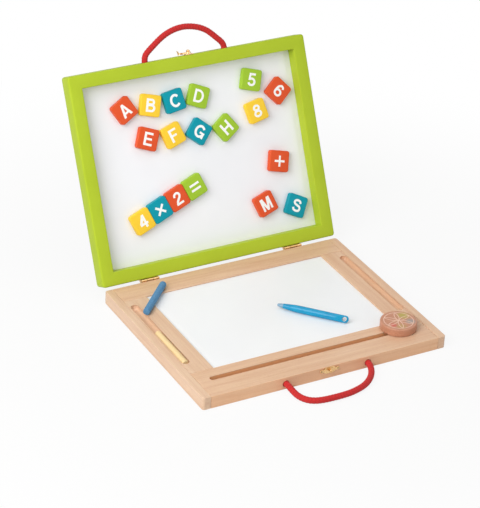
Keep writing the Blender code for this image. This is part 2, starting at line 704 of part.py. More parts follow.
def hook_outline():
    """Outline in (x, z): a ring round the pivot, an arm, and a fork whose mouth opens to +Z."""
    eye = STUD_RADIUS + STUD_FIT
    arm_half = HOOK_ARM_WIDTH / 2
    blend_deg = math.degrees(math.asin(arm_half / HOOK_RING_RADIUS))
    mouth_deg = math.degrees(math.acos(eye / HOOK_RING_RADIUS))
    end = (-HOOK_LENGTH, 0)
    points = arc((0, 0), HOOK_RING_RADIUS, blend_deg - 180, 180 - blend_deg, 24)
    points += arc(end, HOOK_RING_RADIUS, blend_deg, mouth_deg, 3)
    points += arc(end, eye, 0, -180, 10)
    points += arc(end, HOOK_RING_RADIUS, 180 - mouth_deg, 360 - blend_deg, 16)
    return points


def hook(mat, lid, pivot):
    low = LATCH_GAP
    high = LATCH_GAP + HOOK_THICK
    ob = add_object("latch_hook", prism_y(hook_outline(), low, high), mat, lid, pivot)
    bore = prism_y(circle(RIVET_RADIUS + STUD_FIT, 20), low - CUT_OVERRUN, high + CUT_OVERRUN)
    cut(ob, add_object("hook_bore", bore, parent=ob))


def catch(mat):
    """Lobed plate and headed stud on the base's front, where the hook comes down over the stud."""
    stud_z = BASE_HEIGHT + CLOSED_GAP + LATCH_DEPTH - HOOK_LENGTH
    half = CATCH_WIDTH / 2
    tall = min(CATCH_HEIGHT / 2, BASE_HEIGHT - stud_z - WOOD_BEVEL)
    quarter = [(x * half, z * tall) for x, z in CATCH_OUTLINE_SHARES]
    upper = quarter + [(-x, z) for x, z in reversed(quarter)]
    lower = [(-x, -z) for x, z in quarter[1:]] + [(x, -z) for x, z in reversed(quarter[1:])]
    outline = [(LATCH_X + x, stud_z + z) for x, z in upper + lower]
    back = from_front(-LATCH_GAP)
    face = back - CATCH_THICK
    plate = add_object("latch_catch", prism_y(outline, face, back), mat)
    bevel(plate, CATCH_THICK / 4, 1)
    head = from_front(-LATCH_GAP - LATCH_PLATE_THICK - HOOK_THICK - 4 * LATCH_GAP)
    rings = [(back - CATCH_THICK / 2, STUD_RADIUS), (head, STUD_RADIUS), (head, STUD_HEAD_RADIUS),
             (head - STUD_HEAD_THICK, STUD_HEAD_RADIUS)]
    loops = [along_y(circle(radius, 24, (LATCH_X, stud_z)), y) for y, radius in rings]
    join(plate, add_object("catch_stud", loft(loops)))


# Tiles
def tile_mesh():
    half = TILE_SIZE / 2
    small = half - TILE_EDGE_BEVEL
    full = rounded_polygon(rectangle(-half, -half, half, half), (TILE_CORNER_RADIUS,) * 4, 3)
    inset = rounded_polygon(rectangle(-small, -small, small, small),
                            (TILE_CORNER_RADIUS - TILE_EDGE_BEVEL / 2,) * 4, 3)
    back = TILE_EDGE_BEVEL / 2
    bm = loft([along_z(inset, 0), along_z(full, back), along_z(full, TILE_THICK - TILE_EDGE_BEVEL),
               along_z(inset, TILE_THICK)])
    bmesh.ops.recalc_face_normals(bm, faces=bm.faces)
    mesh = bpy.data.meshes.new("tile")
    bm.to_mesh(mesh)
    bm.free()
    return mesh


def reach(turn_deg):
    """Half the width, and the height, that a turned tile takes up."""
    turn = math.radians(turn_deg)
    spread = abs(math.cos(turn)) + abs(math.sin(turn))
    return TILE_SIZE / 2 * spread - TILE_CORNER_RADIUS * (spread - 1)


def share_out(room, blocks, shares):
    """Where each block starts when the spare room goes before, between and after them in these shares."""
    spare = room - sum(blocks)
    place = 0
    starts = []
    for block, share in zip(blocks, shares):
        place += spare * share / sum(shares)
        starts.append(place)
        place += block
    return starts


def row_width(row):
    return sum(2 * reach(turn) for _, turn in row) + TILE_SPACING * (len(row) - 1)


def lay_row(row, start, middle_up, slope_deg=0):
    """Place of each tile of a row that starts here across the board, with its middle this far up."""
    places = {}
    centre = start + row_width(row) / 2
    for name, turn_deg in row:
        across = start + reach(turn_deg)
        up = middle_up + (across - centre) * math.tan(math.radians(slope_deg))
        places[name] = (across, up, turn_deg)
        start += 2 * reach(turn_deg) + TILE_SPACING
    return places


def tile_places():
    """Places across and up the whiteboard, from its lower left corner inside the frame, with each turn."""
    wide = BASE_WIDTH - 2 * LID_RAIL_WIDTH
    high = BASE_DEPTH - 2 * LID_RAIL_WIDTH
    side = {name: reach(turn) for name, turn in SINGLE_TURNS_DEG.items()}
    left_of_six = 2 * max(side["5"], side["8"])
    cluster_wide = left_of_six + CLUSTER_SIDE_GAP + 2 * side["6"]
    cluster_high = 2 * side["5"] + CLUSTER_ROW_GAP + 2 * side["8"]
    top_row = row_width(TOP_ROW)
    second_row = row_width(SECOND_ROW)
    row_high = 2 * max(reach(turn) for _, turn in TOP_ROW)
    second_drop = second_row * math.tan(math.radians(abs(SECOND_ROW_SLOPE_DEG)))
    second_high = second_drop + 2 * max(reach(turn) for _, turn in SECOND_ROW)
    turn = math.radians(SUM_TURN_DEG)
    pitch = TILE_SIZE + SUM_TILE_GAP
    run = pitch * (len(SUM_ROW) - 1)
    sum_reach = reach(SUM_TURN_DEG)
    sum_wide = run * math.cos(turn) + 2 * sum_reach
    sum_high = run * math.sin(turn) + 2 * sum_reach
    pair_high = 2 * side["S"] + PAIR_STAGGER

    sum_up, second_up, top_up = share_out(high, (sum_high, second_high, row_high), LEFT_UP_SHARES)
    blocks = (pair_high, 2 * side["plus"], cluster_high)
    pair_up, plus_up, cluster_up = share_out(high, blocks, RIGHT_UP_SHARES)
    top_x, cluster_x = share_out(wide, (top_row, cluster_wide), TOP_ROW_ACROSS_SHARES)
    second_x = share_out(wide, (second_row, cluster_wide), SECOND_ROW_ACROSS_SHARES)[0]
    lower = share_out(wide, (sum_wide, 2 * side["M"], 2 * side["S"]), LOWER_ACROSS_SHARES)
    plus_x = share_out(wide, (2 * side["plus"],), PLUS_ACROSS_SHARES)[0]

    places = lay_row(TOP_ROW, top_x, top_up + row_high / 2)
    places.update(lay_row(SECOND_ROW, second_x, second_up + second_high / 2, SECOND_ROW_SLOPE_DEG))
    for i, name in enumerate(SUM_ROW):
        places[name] = (lower[0] + sum_reach + i * pitch * math.cos(turn),
                        sum_up + sum_reach + i * pitch * math.sin(turn), SUM_TURN_DEG)
    eight_up = cluster_up + side["8"]
    five_up = eight_up + side["8"] + CLUSTER_ROW_GAP + side["5"]
    single = {
        "5": (cluster_x + left_of_six - side["5"], five_up),
        "8": (cluster_x + left_of_six - side["8"], eight_up),
        "6": (cluster_x + cluster_wide - side["6"], (five_up + eight_up) / 2),
        "plus": (plus_x + side["plus"], plus_up + side["plus"]),
        "M": (lower[1] + side["M"], pair_up + side["S"] + PAIR_STAGGER),
        "S": (lower[2] + side["S"], pair_up + side["S"]),
    }
    for name, place in single.items():
        places[name] = (*place, SINGLE_TURNS_DEG[name])
    return places


def tiles(mats, lid):
    colours = {"A": "red", "B": "yellow", "C": "teal", "D": "green", "E": "red", "F": "yellow", "G": "teal",
               "H": "green", "5": "green", "6": "red", "8": "yellow", "plus": "red", "M": "red", "S": "teal",
               "4": "yellow", "times": "teal", "2": "red", "equals": "green"}
    shapes = {}
    for colour, mat in mats.items():
        shapes[colour] = tile_mesh()
        shapes[colour].materials.append(mat)
    for name, (across, up, turn_deg) in tile_places().items():
        place = lid_point(across - LID_OPENING_HALF_WIDTH, up + LID_RAIL_WIDTH, RECESS_DEPTH - TILE_BACK_GAP)
        place_mesh("tile_" + name, shapes[colours[name]], parent=lid, location=place,
                   rotation=(0, 0, math.radians(turn_deg)))


# Stylus and chalks, along their own X
def stylus(body_mat, tip_mat):
    place = (STYLUS_PLACE_SHARES[0] * BASE_WIDTH, from_front(STYLUS_PLACE_SHARES[1] * BASE_DEPTH),
             SCREEN_TOP + REST_GAP + STYLUS_RADIUS)
    holder = bpy.data.objects.new("stylus_place", None)
    bpy.context.scene.collection.objects.link(holder)
    holder.location = place
    holder.rotation_euler = (0, 0, math.radians(STYLUS_TURN_DEG))
    start = -STYLUS_LENGTH / 2
    body_start = start + STYLUS_TIP_LENGTH + JOINT_GAP
    body_length = STYLUS_LENGTH - STYLUS_TIP_LENGTH - JOINT_GAP
    stations = []
    taper_steps = 5
    for i in range(taper_steps + 1):
        share = i / taper_steps
        grow = math.sin(math.radians(90 * share))
        stations.append((body_start + share * STYLUS_TAPER_SHARE * body_length,
                         STYLUS_TIP_RADIUS + (STYLUS_RADIUS - STYLUS_TIP_RADIUS) * grow))
    tail = start + STYLUS_LENGTH
    for turn_deg in (0, 30, 60, 80):
        turn = math.radians(turn_deg)
        stations.append((tail - STYLUS_RADIUS * (1 - math.sin(turn)), STYLUS_RADIUS * math.cos(turn)))
    body = add_object("stylus_body", turned(stations, 20), body_mat, holder)
    shade_round(body)
    eye_x = tail - STYLUS_EYE_SHARE * STYLUS_LENGTH
    reach = STYLUS_RADIUS + CUT_OVERRUN
    eye = prism_z(circle(STYLUS_EYE_RADIUS, 16, (eye_x, 0)), -reach, reach)
    cut(body, add_object("eye", eye, parent=holder, rotation=(math.radians(STYLUS_EYE_TILT_DEG), 0, 0)))
    mid = start + STYLUS_TIP_LENGTH / 3
    stations = [(start, STYLUS_POINT_RADIUS / 2), (start + STYLUS_POINT_RADIUS / 2, STYLUS_POINT_RADIUS),
                (mid, (STYLUS_POINT_RADIUS + STYLUS_TIP_RADIUS) / 2),
                (start + STYLUS_TIP_LENGTH, STYLUS_TIP_RADIUS)]
    shade_round(add_object("stylus_tip", turned(stations, 20), tip_mat, holder))


def chalk(name, radius, length, place, turn_deg, mat):
    half = length / 2
    stations = [(-half, radius - CHALK_END_BEVEL), (-half + CHALK_END_BEVEL, radius),
                (half - CHALK_END_BEVEL, radius), (half, radius - CHALK_END_BEVEL)]
    stick = add_object(name, turned(stations, 24), mat, None, place, (0, 0, math.radians(turn_deg)))
    shade_round(stick)


def chalks(blue_mat, yellow_mat):
    place = (BLUE_CHALK_PLACE_SHARES[0] * BASE_WIDTH, from_front(BLUE_CHALK_PLACE_SHARES[1] * BASE_DEPTH),
             BASE_HEIGHT + REST_GAP + BLUE_CHALK_RADIUS)
    chalk("chalk_blue", BLUE_CHALK_RADIUS, BLUE_CHALK_LENGTH, place, BLUE_CHALK_TURN_DEG, blue_mat)
    middle = TROUGH_FRONT + TROUGH_RADIUS - YELLOW_CHALK_END_REACH + YELLOW_CHALK_LENGTH / 2
    place = (-TROUGH_X, from_front(middle), BASE_HEIGHT - TROUGH_DEPTH + REST_GAP + YELLOW_CHALK_RADIUS)
    chalk("chalk_yellow", YELLOW_CHALK_RADIUS, YELLOW_CHALK_LENGTH, place, 90, yellow_mat)


def ropes(mat, lid):
    rope("base_handle_rope", [(x, from_front(y), z) for x, y, z in BASE_ROPE_ROUTE], mat)
    rope("lid_handle_rope", [lid_point(x, BASE_DEPTH + s, LID_MIDDLE) for x, s in LID_ROPE_ROUTE], mat, lid)


def main():
    clear_scene()
    beech = material("beech", (222, 188, 150), 0.5)
    slot_wood = material("beech_inside", (200, 160, 118), 0.6)
    green = material("lid_green_paint", (178, 200, 48), 0.4)
    white = material("whiteboard", (236, 236, 236), 0.25)
    slate = material("chalkboard", (52, 62, 58), 0.8)
    screen_mat = material("screen", (243, 244, 245), 0.3)
    knob_mat = material("knob_wood", (222, 170, 142), 0.5)
    dark = material("magnet", (48, 46, 45), 0.6)
    white_plastic = material("white_plastic", (228, 228, 226), 0.45)
    brass = material("brass", (205, 165, 85), 0.3, 1.0)
    red_rope = material("red_rope", (200, 42, 48), 0.8)
    stylus_blue = material("stylus_blue", (45, 160, 210), 0.3)
    blue_chalk = material("blue_chalk", (75, 140, 195), 0.9)
    yellow_chalk = material("yellow_chalk", (240, 215, 150), 0.9)
    tile_mats = {
        "red": material("tile_red", (232, 80, 35), 0.35),
        "yellow": material("tile_yellow", (252, 205, 50), 0.35),
        "teal": material("tile_teal", (0, 155, 165), 0.35),
        "green": material("tile_green", (160, 195, 45), 0.35),
    }

    side_rail("base_left_rail", -1, beech)
    side_rail("base_right_rail", 1, beech)
    front_board(beech)
    rear_board(beech)
    side_board("base_left_board", -1, beech)
    side_board("base_right_board", 1, beech)
    bottom_panel(slot_wood)
    screen(screen_mat)
    slide_eraser(knob_mat, white_plastic, white_plastic, dark)
    catch(brass)

    lid = lid_empty()
    lid_rails(green, lid)
    lid_panel("whiteboard_panel", RECESS_DEPTH, white, lid)
    lid_panel("chalkboard_panel", RECESS_DEPTH + BOARD_THICK + BOARD_GAP, slate, lid)
    hinges(brass, brass, lid)
    latch(brass, lid)
    tiles(tile_mats, lid)
    ropes(red_rope, lid)
    stylus(stylus_blue, dark)
    chalks(blue_chalk, yellow_chalk)

    print("slide range", round(KNOB_X - SLIDE_RIGHT_X, 5), round(KNOB_X - SLIDE_LEFT_X, 5))
    print("recess", round(RECESS_DEPTH, 5), "lid thick", round(LID_THICK, 5))


main()
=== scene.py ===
"""Looks of the magnetic board case: camera, studio, finer meshes for its ropes, painted lid frame,
lettered tiles, stylus, chalks and latch, and the finish of every surface. Metres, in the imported
model's frame: X runs along the hinge line, the base's front faces -Y and the floor is z = 0."""

import math

import bmesh
import bpy
from mathutils import Matrix, Vector, geometry, noise


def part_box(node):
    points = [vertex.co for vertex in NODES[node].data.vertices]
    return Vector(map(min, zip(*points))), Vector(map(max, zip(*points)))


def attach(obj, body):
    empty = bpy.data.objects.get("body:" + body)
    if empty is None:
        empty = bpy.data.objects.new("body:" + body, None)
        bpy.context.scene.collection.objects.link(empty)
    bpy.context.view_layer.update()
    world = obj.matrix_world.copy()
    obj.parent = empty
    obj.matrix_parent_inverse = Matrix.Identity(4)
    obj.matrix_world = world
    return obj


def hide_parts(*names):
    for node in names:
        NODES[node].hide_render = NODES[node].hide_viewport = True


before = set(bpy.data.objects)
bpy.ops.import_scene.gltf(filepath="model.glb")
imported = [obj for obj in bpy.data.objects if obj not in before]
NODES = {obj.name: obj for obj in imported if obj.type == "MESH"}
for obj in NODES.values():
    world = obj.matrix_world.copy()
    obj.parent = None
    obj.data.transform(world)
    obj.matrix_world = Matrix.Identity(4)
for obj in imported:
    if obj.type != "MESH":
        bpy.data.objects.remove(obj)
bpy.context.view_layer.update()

# Camera, as the photograph was taken, with its azimuth, elevation and roll
CAMERA_PLACE = (-1.272, -2.1402, 1.5275)
CAMERA_TURNS_DEG = (-29.64, 29.78, 2.82)
CAMERA_LENS_MM = 159.72
CAMERA_SENSOR_MM = 36

# Studio: each light's place, width and power
LIGHTS = {
    "key_light": ((-1.3, -0.5, 1.2), 1.5, 28),
    "top_light": ((0.2, 0.2, 2.2), 1.8, 8),
    "front_light": ((1.1, -1.9, 1.0), 1.6, 5),
}
LIGHT_AIM = (0, 0, 0.08)
WHITE = (1, 1, 1, 1)
SKY_STRENGTH = 0.32
BACKDROP_STRENGTH = 0.985

# Floor: half its width, its share of white near the object, and the rise to full white far from it
FLOOR_HALF = 6.0
FLOOR_GLOW_NEAR = 0.88
FLOOR_GLOW_MORE = 0.12
FLOOR_GLOW_FROM = 0.3
FLOOR_GLOW_TO = 0.8

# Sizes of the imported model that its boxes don't give directly
LID_LEAN_DEG = 24.73
AXIS_BEHIND_BASE = 0.0016
CLOSED_GAP = 0.002
BASE_DEPTH = 0.279
BASE_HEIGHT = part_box("base_left_rail")[1].z
HALF_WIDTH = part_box("base_right_rail")[1].x
HALF_DEPTH = BASE_DEPTH / 2
AXIS_Y = HALF_DEPTH + AXIS_BEHIND_BASE
AXIS_Z = BASE_HEIGHT + CLOSED_GAP / 2
SLOT_HALF_WIDTH = 0.004
SLOT_Y = 0.036 - HALF_DEPTH
TROUGH_X = 0.15665
TROUGH_RADIUS = 0.0059

# Painted light on the slot's walls and painted shade on the troughs' walls, in a warm orange: reach
# past a wall, depth where it starts and is full, its share
SLOT_PAINTED_LIGHT = (0.0004, 0.0002, 0.0012, 1.0)
TROUGH_PAINTED_SHADE = (0.0006, 0.0003, 0.004, 0.06)
# Painted shade on the base's front face: its share of the warm orange, and how near the front a point
# lies to get it
FRONT_PAINTED_SHADE = 0.36
FRONT_SKIN = 0.0002

# Painted lid frame
LID_RAIL_WIDTH = 0.018
LID_THICK = 0.0222
LID_RECESS = 0.0174
LID_REBATE_WIDTH = 0.0062
LID_BOARD_GAP = 0.0002
LID_CORNER_RADIUS = 0.004
LID_EDGE_RADIUS = 0.002
LID_INNER_EDGE_RADIUS = 0.001
LID_LEAST_CORNER = 0.0002
LID_MIDDLE = LID_THICK / 2

# Rope handles: the routes of the model's ropes
ROPE_RADIUS = 0.0041
ROPE_HOLE_RADIUS = 0.0048
ROPE_SPACING = 0.118
ROPE_HOLE_DEPTH = 0.011
ROPE_STRANDS = 12
ROPE_BRAID_STEP = 0.0042
ROPE_RING_STEP = 0.0003
ROPE_SIDES = 96
ROPE_BRAID_DEPTH = 0.0004
BASE_ROPE_ROUTE = [
    (-0.059, 0.008, 0.0078), (-0.059, 0.0, 0.0078), (-0.0585, -0.006, 0.0074),
    (-0.0578, -0.013, 0.006), (-0.0569, -0.02, 0.0048), (-0.0557, -0.0262, 0.0044),
    (-0.0531, -0.0332, 0.0044), (-0.0483, -0.0394, 0.0044), (-0.0417, -0.0434, 0.0044),
    (-0.0343, -0.0454, 0.0044), (-0.0264, -0.0464, 0.0044), (-0.016, -0.0468, 0.0044),
    (-0.005, -0.0468, 0.0044), (0.006, -0.046, 0.0044), (0.0163, -0.0438, 0.0044),
    (0.0262, -0.0406, 0.0044), (0.0357, -0.0357, 0.0044), (0.044, -0.0292, 0.0044),
    (0.0507, -0.022, 0.0046), (0.0556, -0.0145, 0.0055), (0.0583, -0.007, 0.007),
    (0.059, 0.0, 0.0078), (0.059, 0.008, 0.0078),
]
LID_ROPE_ROUTE = [
    (-0.059, -0.008), (-0.059, 0.0), (-0.0585, 0.0042), (-0.0569, 0.0082), (-0.0541, 0.0116),
    (-0.0488, 0.0157), (-0.0427, 0.0199), (-0.0358, 0.0246), (-0.0285, 0.0289), (-0.0208, 0.0325),
    (-0.0125, 0.0352), (-0.004, 0.0368), (0.0049, 0.0373), (0.0138, 0.0364), (0.0225, 0.0344),
    (0.0306, 0.0313), (0.0382, 0.0268), (0.0446, 0.0211), (0.0503, 0.0153), (0.0545, 0.0111),
    (0.0573, 0.0075), (0.0586, 0.004), (0.059, 0.0), (0.059, -0.008),
]

# Tiles, with their colour and turn. The widths of the letters' strokes are shares of their height.
TILE_SIZE = 0.029
TILE_THICK = 0.008
TILE_CORNER_RADIUS = 0.0034
TILE_EDGE_RADIUS = 0.0012
LETTER_HEIGHT = 0.0178
LETTER_THICK = 0.00006
STROKE = 0.185
ROUND_STROKE = 0.17
TILE_FINISH = {
    "A": ("red", 29.0), "B": ("yellow", -16.4), "C": ("teal", 8.6), "D": ("green", -24.2),
    "E": ("red", -22.1), "F": ("yellow", 18.5), "G": ("teal", -41.2), "H": ("green", 34.8),
    "4": ("yellow", 20.5), "times": ("teal", 20.5), "2": ("red", 20.5), "equals": ("green", 20.5),
    "5": ("green", -17.5), "8": ("yellow", 11.9), "6": ("red", -49.8), "plus": ("red", -14.5),
    "M": ("red", 18.4), "S": ("teal", -28.0),
}
TILE_COLOURS = {
    "red": (226, 85, 42),
    "yellow": (252, 208, 56),
    "teal": (0, 150, 168),
    "green": (160, 198, 50),
}

# Stylus
STYLUS_LENGTH = 0.097
STYLUS_RADIUS = 0.00485
STYLUS_TAPER = 0.024
STYLUS_TIP_LENGTH = 0.0083
STYLUS_TIP_RADIUS = 0.0031
STYLUS_POINT_RADIUS = 0.0019
STYLUS_POINT_BLUNT = 0.8
STYLUS_EYE_RADIUS = 0.0031
STYLUS_EYE_FROM_TAIL = 0.00553
STYLUS_EYE_TILT_DEG = 56
STYLUS_TURN_DEG = -47.6
STYLUS_PLACE = (0.04494, 0.11626 - HALF_DEPTH)
STYLUS_TAIL_FLAT = 0.52
STYLUS_FLAT_LENGTH = 0.019
STYLUS_FLAT_BLEND = 0.012
STYLUS_EYE_EDGE = 0.0005
STYLUS_NIB_INSET = 0.0002

# Latch: its hook and plate on the lid's free edge, its catch and stud on the base's front
LATCH_X = 0.0026
LATCH_DEPTH = 0.005
LATCH_GAP = 0.0003
LATCH_PLATE_SIZE = (0.013, 0.0085)
LATCH_PLATE_THICK = 0.0008
LATCH_PLATE_CORNER = 0.0012
LATCH_NAIL_SHARE = 0.38
HOOK_LENGTH = 0.012
HOOK_THICK = 0.0022
HOOK_ARM_WIDTH = 0.0032
HOOK_RING_RADIUS = 0.0035
HOOK_BORE_RADIUS = 0.0017
HOOK_TAB_RISE = 0.0042
HOOK_TAB_THICK = 0.0009
HOOK_TAB_WIDTH = 0.0042
HOOK_TAB_LEAN = 0.0016
HOOK_TAB_SUNK = 0.0006
HOOK_TAB_ROUND_FROM = 0.55
HOOK_TAB_ROUND_LENGTH = 0.46
HOOK_TAB_THINNING = 0.35
HOOK_TAB_EDGE_SHARE = 0.4
RIVET_RADIUS = 0.0013
RIVET_KNOB_RADIUS = 0.0026
RIVET_KNOB_FOOT = 0.0009
RIVET_KNOB_RISE = 0.0019
RIVET_KNOB_UNDER_SHARE = 0.8
CATCH_WIDTH = 0.028
CATCH_HEIGHT = 0.0088
CATCH_THICK = 0.001
CATCH_BOSS_SHARES = (0.52, 0.66)
CATCH_BOSS_RISE = 0.0003
CATCH_NAIL_SHARE = 0.42
CATCH_SHARES = ((1.0, 0.0), (0.97, 0.3), (0.88, 0.5), (0.76, 0.52), (0.67, 0.4), (0.58, 0.45),
                (0.52, 0.72), (0.42, 0.93), (0.28, 1.0))
STUD_RADIUS = 0.0015
STUD_FIT = 0.0004
STUD_HEAD_RADIUS = 0.0023
STUD_HEAD_THICK = 0.0012
STUD_RIM_SHARE = 0.35
NAIL_RADIUS = 0.0009
NAIL_EDGE = 0.0001
NAIL_RISE = 0.0004
NAIL_UNDER_SHARE = 0.6
METAL_BEVEL = 0.0002

# Chalk sticks: radius, length and turn
CHALKS = {
    "blue": (0.0047, 0.075, 46.7),
    "yellow": (0.0045, 0.078, 90.0),
}
CHALK_END_RADIUS = 0.0009
CHALK_WEAR = 0.00012
CHALK_WEAR_SCALE = (150, 2, 2)

# Knob: its printed lines, and its patches of dye with their place from its middle, reach and colour
KNOB_RADIUS = 0.024
KNOB_PRINT_THICK = 0.00005
KNOB_PRINT_RADIUS = KNOB_RADIUS * 0.8
KNOB_LINE_WIDTH = 0.0009
KNOB_PETALS = 6
KNOB_PETAL_TURN_DEG = 15
KNOB_PATCHES = (
    (0.012, 0.008, 0.011, (176, 168, 70)),
    (-0.004, -0.014, 0.009, (186, 150, 92)),
    (0.013, -0.008, 0.009, (150, 152, 150)),
    (-0.012, -0.007, 0.006, (206, 84, 76)),
)

CUT_OVERRUN = 0.004


# Shapes
def arc(centre, radius, start_deg, end_deg, steps):
    points = []
    for i in range(steps + 1):
        angle = math.radians(start_deg + (end_deg - start_deg) * i / steps)
        points.append((centre[0] + radius * math.cos(angle), centre[1] + radius * math.sin(angle)))
    return points


def circle(radius, sides, centre=(0, 0)):
    return arc(centre, radius, 0, 360 - 360 / sides, sides - 1)


def oval(centre, across, up, start_deg, end_deg, steps=16):
    """Arc of an ellipse with these half widths."""
    return [(centre[0] + across * x, centre[1] + up * y)
            for x, y in arc((0, 0), 1, start_deg, end_deg, steps)]


def rounded_rectangle(x0, y0, x1, y1, radius, steps=8):
    points = []
    middles = [(x1 - radius, y0 + radius), (x1 - radius, y1 - radius),
               (x0 + radius, y1 - radius), (x0 + radius, y0 + radius)]
    for i, middle in enumerate(middles):
        points += arc(middle, radius, 90 * i - 90, 90 * i, steps)
    return points


def catmull(points, steps, closed=False):
    """Smooth line through points, with this many steps between each two."""
    route = [Vector(p) for p in points]
    if closed:
        ends = [route[-1]] + route + route[:2]
    else:
        ends = [2 * route[0] - route[1]] + route + [2 * route[-1] - route[-2]]
    fine = []
    for i in range(1, len(ends) - 2):
        p0, p1, p2, p3 = ends[i - 1:i + 3]
        for k in range(steps):
            t = k / steps
            fine.append(((2 * p1) + (p2 - p0) * t + (2 * p0 - 5 * p1 + 4 * p2 - p3) * t ** 2
                         + (3 * p1 - p0 - 3 * p2 + p3) * t ** 3) / 2)
    if not closed:
        fine.append(route[-1])
    return fine


def even_route(points, step):
    """Points a step apart along a line."""
    lengths = [0.0]
    for a, b in zip(points, points[1:]):
        lengths.append(lengths[-1] + (b - a).length)
    total = lengths[-1]
    count = round(total / step)
    even = []
    place = 0
    for i in range(count + 1):
        wanted = total * i / count
        while place < len(lengths) - 2 and lengths[place + 1] < wanted:
            place += 1
        share = (wanted - lengths[place]) / (lengths[place + 1] - lengths[place])
        even.append(points[place].lerp(points[place + 1], share))
    return even, total


def box(x0, y0, x1, y1):
    return [(x0, y0), (x1, y0), (x1, y1), (x0, y1)]


def turn(degrees, axis):
    return Matrix.Rotation(math.radians(degrees), 4, axis)


def new_object(name, data):
    ob = bpy.data.objects.new(name, data)
    bpy.context.scene.collection.objects.link(ob)
    return ob


def make_object(name, bm, material, matrix=None, sharp_deg=35):
    """Object from a bmesh, smooth but for the edges sharper than this."""
    bmesh.ops.recalc_face_normals(bm, faces=bm.faces)
    mesh = bpy.data.meshes.new(name)
    bm.to_mesh(mesh)
    bm.free()
    if matrix is not None:
        mesh.transform(matrix)
    mesh.shade_smooth()
    mesh.set_sharp_from_angle(angle=math.radians(sharp_deg))
    mesh.materials.append(material)
    return new_object(name, mesh)


def loft(loops, ring=False):
    """Solid through loops of points: capped at both ends, or closed on itself as a ring."""
    bm = bmesh.new()
    rows = [[bm.verts.new(p) for p in loop] for loop in loops]
    pairs = list(zip(rows, rows[1:]))
    if ring:
        pairs.append((rows[-1], rows[0]))
    for low, high in pairs:
        skin(bm, low, high)
    if not ring:
        bm.faces.new(list(reversed(rows[0])))
        bm.faces.new(rows[-1])
    return bm


def skin(bm, low, high):
    """Faces between two loops."""
    for i in range(len(low)):
        j = (i + 1) % len(low)
        bm.faces.new((low[i], low[j], high[j], high[i]))


def settle(ob):
    """Apply an object's modifiers and remove the tools that they used."""
    tools = [mod.object for mod in ob.modifiers if getattr(mod, "object", None)]
    graph = bpy.context.evaluated_depsgraph_get()
    mesh = bpy.data.meshes.new_from_object(ob.evaluated_get(graph))
    ob.modifiers.clear()
    ob.data = mesh
    for tool in tools:
        bpy.data.objects.remove(tool)


def cut(ob, tool):
    """Bore or hole in the shape of this tool, made when the object settles."""
    mod = ob.modifiers.new("cut", "BOOLEAN")
    mod.operation = "DIFFERENCE"
    mod.solver = "EXACT"
    mod.object = tool


# The lid's own frame: X along the hinge, Y up the lid, Z out of its whiteboard side
LID_MATRIX = Matrix.Translation((0, AXIS_Y, AXIS_Z)) @ turn(90 - LID_LEAN_DEG, "X")


def lid_point(x, s, n):
    """Lid frame place of x, the distance s up from its hinge edge and n behind its front face."""
    return (x, s + AXIS_BEHIND_BASE, -(n + CLOSED_GAP / 2))


# Camera and studio
def camera():
    azimuth, elevation, roll = (math.radians(angle) for angle in CAMERA_TURNS_DEG)
    back = Vector((math.sin(azimuth) * math.cos(elevation),
                   -math.cos(azimuth) * math.cos(elevation), math.sin(elevation)))
    level = Vector((math.cos(azimuth), math.sin(azimuth), 0))
    upright = back.cross(level)
    right = level * math.cos(roll) + upright * math.sin(roll)
    up = upright * math.cos(roll) - level * math.sin(roll)
    data = bpy.data.cameras.new("camera")
    data.sensor_width = CAMERA_SENSOR_MM
    data.lens = CAMERA_LENS_MM
    ob = new_object("camera", data)
    axes = Matrix((right, up, back)).transposed().to_4x4()
    ob.matrix_world = Matrix.Translation(CAMERA_PLACE) @ axes
    bpy.context.scene.camera = ob


def area_light(name, place, size, power):
    data = bpy.data.lights.new(name, "AREA")
    data.shape = "DISK"
    data.size = size
    data.energy = power
    ob = new_object(name, data)
    ob.location = place
    ob.rotation_euler = (Vector(LIGHT_AIM) - Vector(place)).to_track_quat("-Z", "Y").to_euler()


def studio():
    for name, light in LIGHTS.items():
        area_light(name, *light)
    world = bpy.data.worlds.new("world")
    world.use_nodes = True
    nodes = Nodes(world.node_tree)
    sky = nodes.tree.nodes["Background"]
    nodes.feed(sky.inputs["Color"], WHITE)
    nodes.feed(sky.inputs["Strength"], SKY_STRENGTH)
    seen = nodes.node("ShaderNodeBackground", {"Color": WHITE, "Strength": BACKDROP_STRENGTH})
    nodes.end_in_mix("World Output", nodes.sees_backdrop(), sky.outputs["Background"],
                     seen.outputs["Background"])
    bpy.context.scene.world = world
    bpy.context.scene.view_settings.view_transform = "Standard"
    floor()


def floor():
    """Pale paper that looks white to the camera, more so far from the object, and keeps shadows."""
    bm = bmesh.new()
    corners = box(-FLOOR_HALF, -FLOOR_HALF, FLOOR_HALF, FLOOR_HALF)
    bm.faces.new([bm.verts.new((x, y, 0)) for x, y in corners])
    shader = Shader("floor_paper")
    shader.set("Roughness", 0.9)
    grain = shader.noise(180, 3)
    shader.set("Base Color", shader.ramp(grain, [(0.3, (222, 222, 221)), (0.7, (226, 226, 225))]))
    glow = shader.node("ShaderNodeEmission", {"Color": WHITE, "Strength": 1.0})
    away = shader.vector("LENGTH", shader.coords)["Value"]
    more = shader.times(shader.rise(away, FLOOR_GLOW_FROM, FLOOR_GLOW_TO), FLOOR_GLOW_MORE)
    share = shader.times(shader.sees_backdrop(), shader.math("ADD", more, FLOOR_GLOW_NEAR))
    shader.end_in_mix("Material Output", share, shader.surface.outputs["BSDF"],
                      glow.outputs["Emission"])
    make_object("floor", bm, shader.material)


# Materials
def linear(value):
    value = value / 255
    if value <= 0.04045:
        return value / 12.92
    return ((value + 0.055) / 1.055) ** 2.4


def colour(rgb):
    return (*(linear(c) for c in rgb), 1.0)


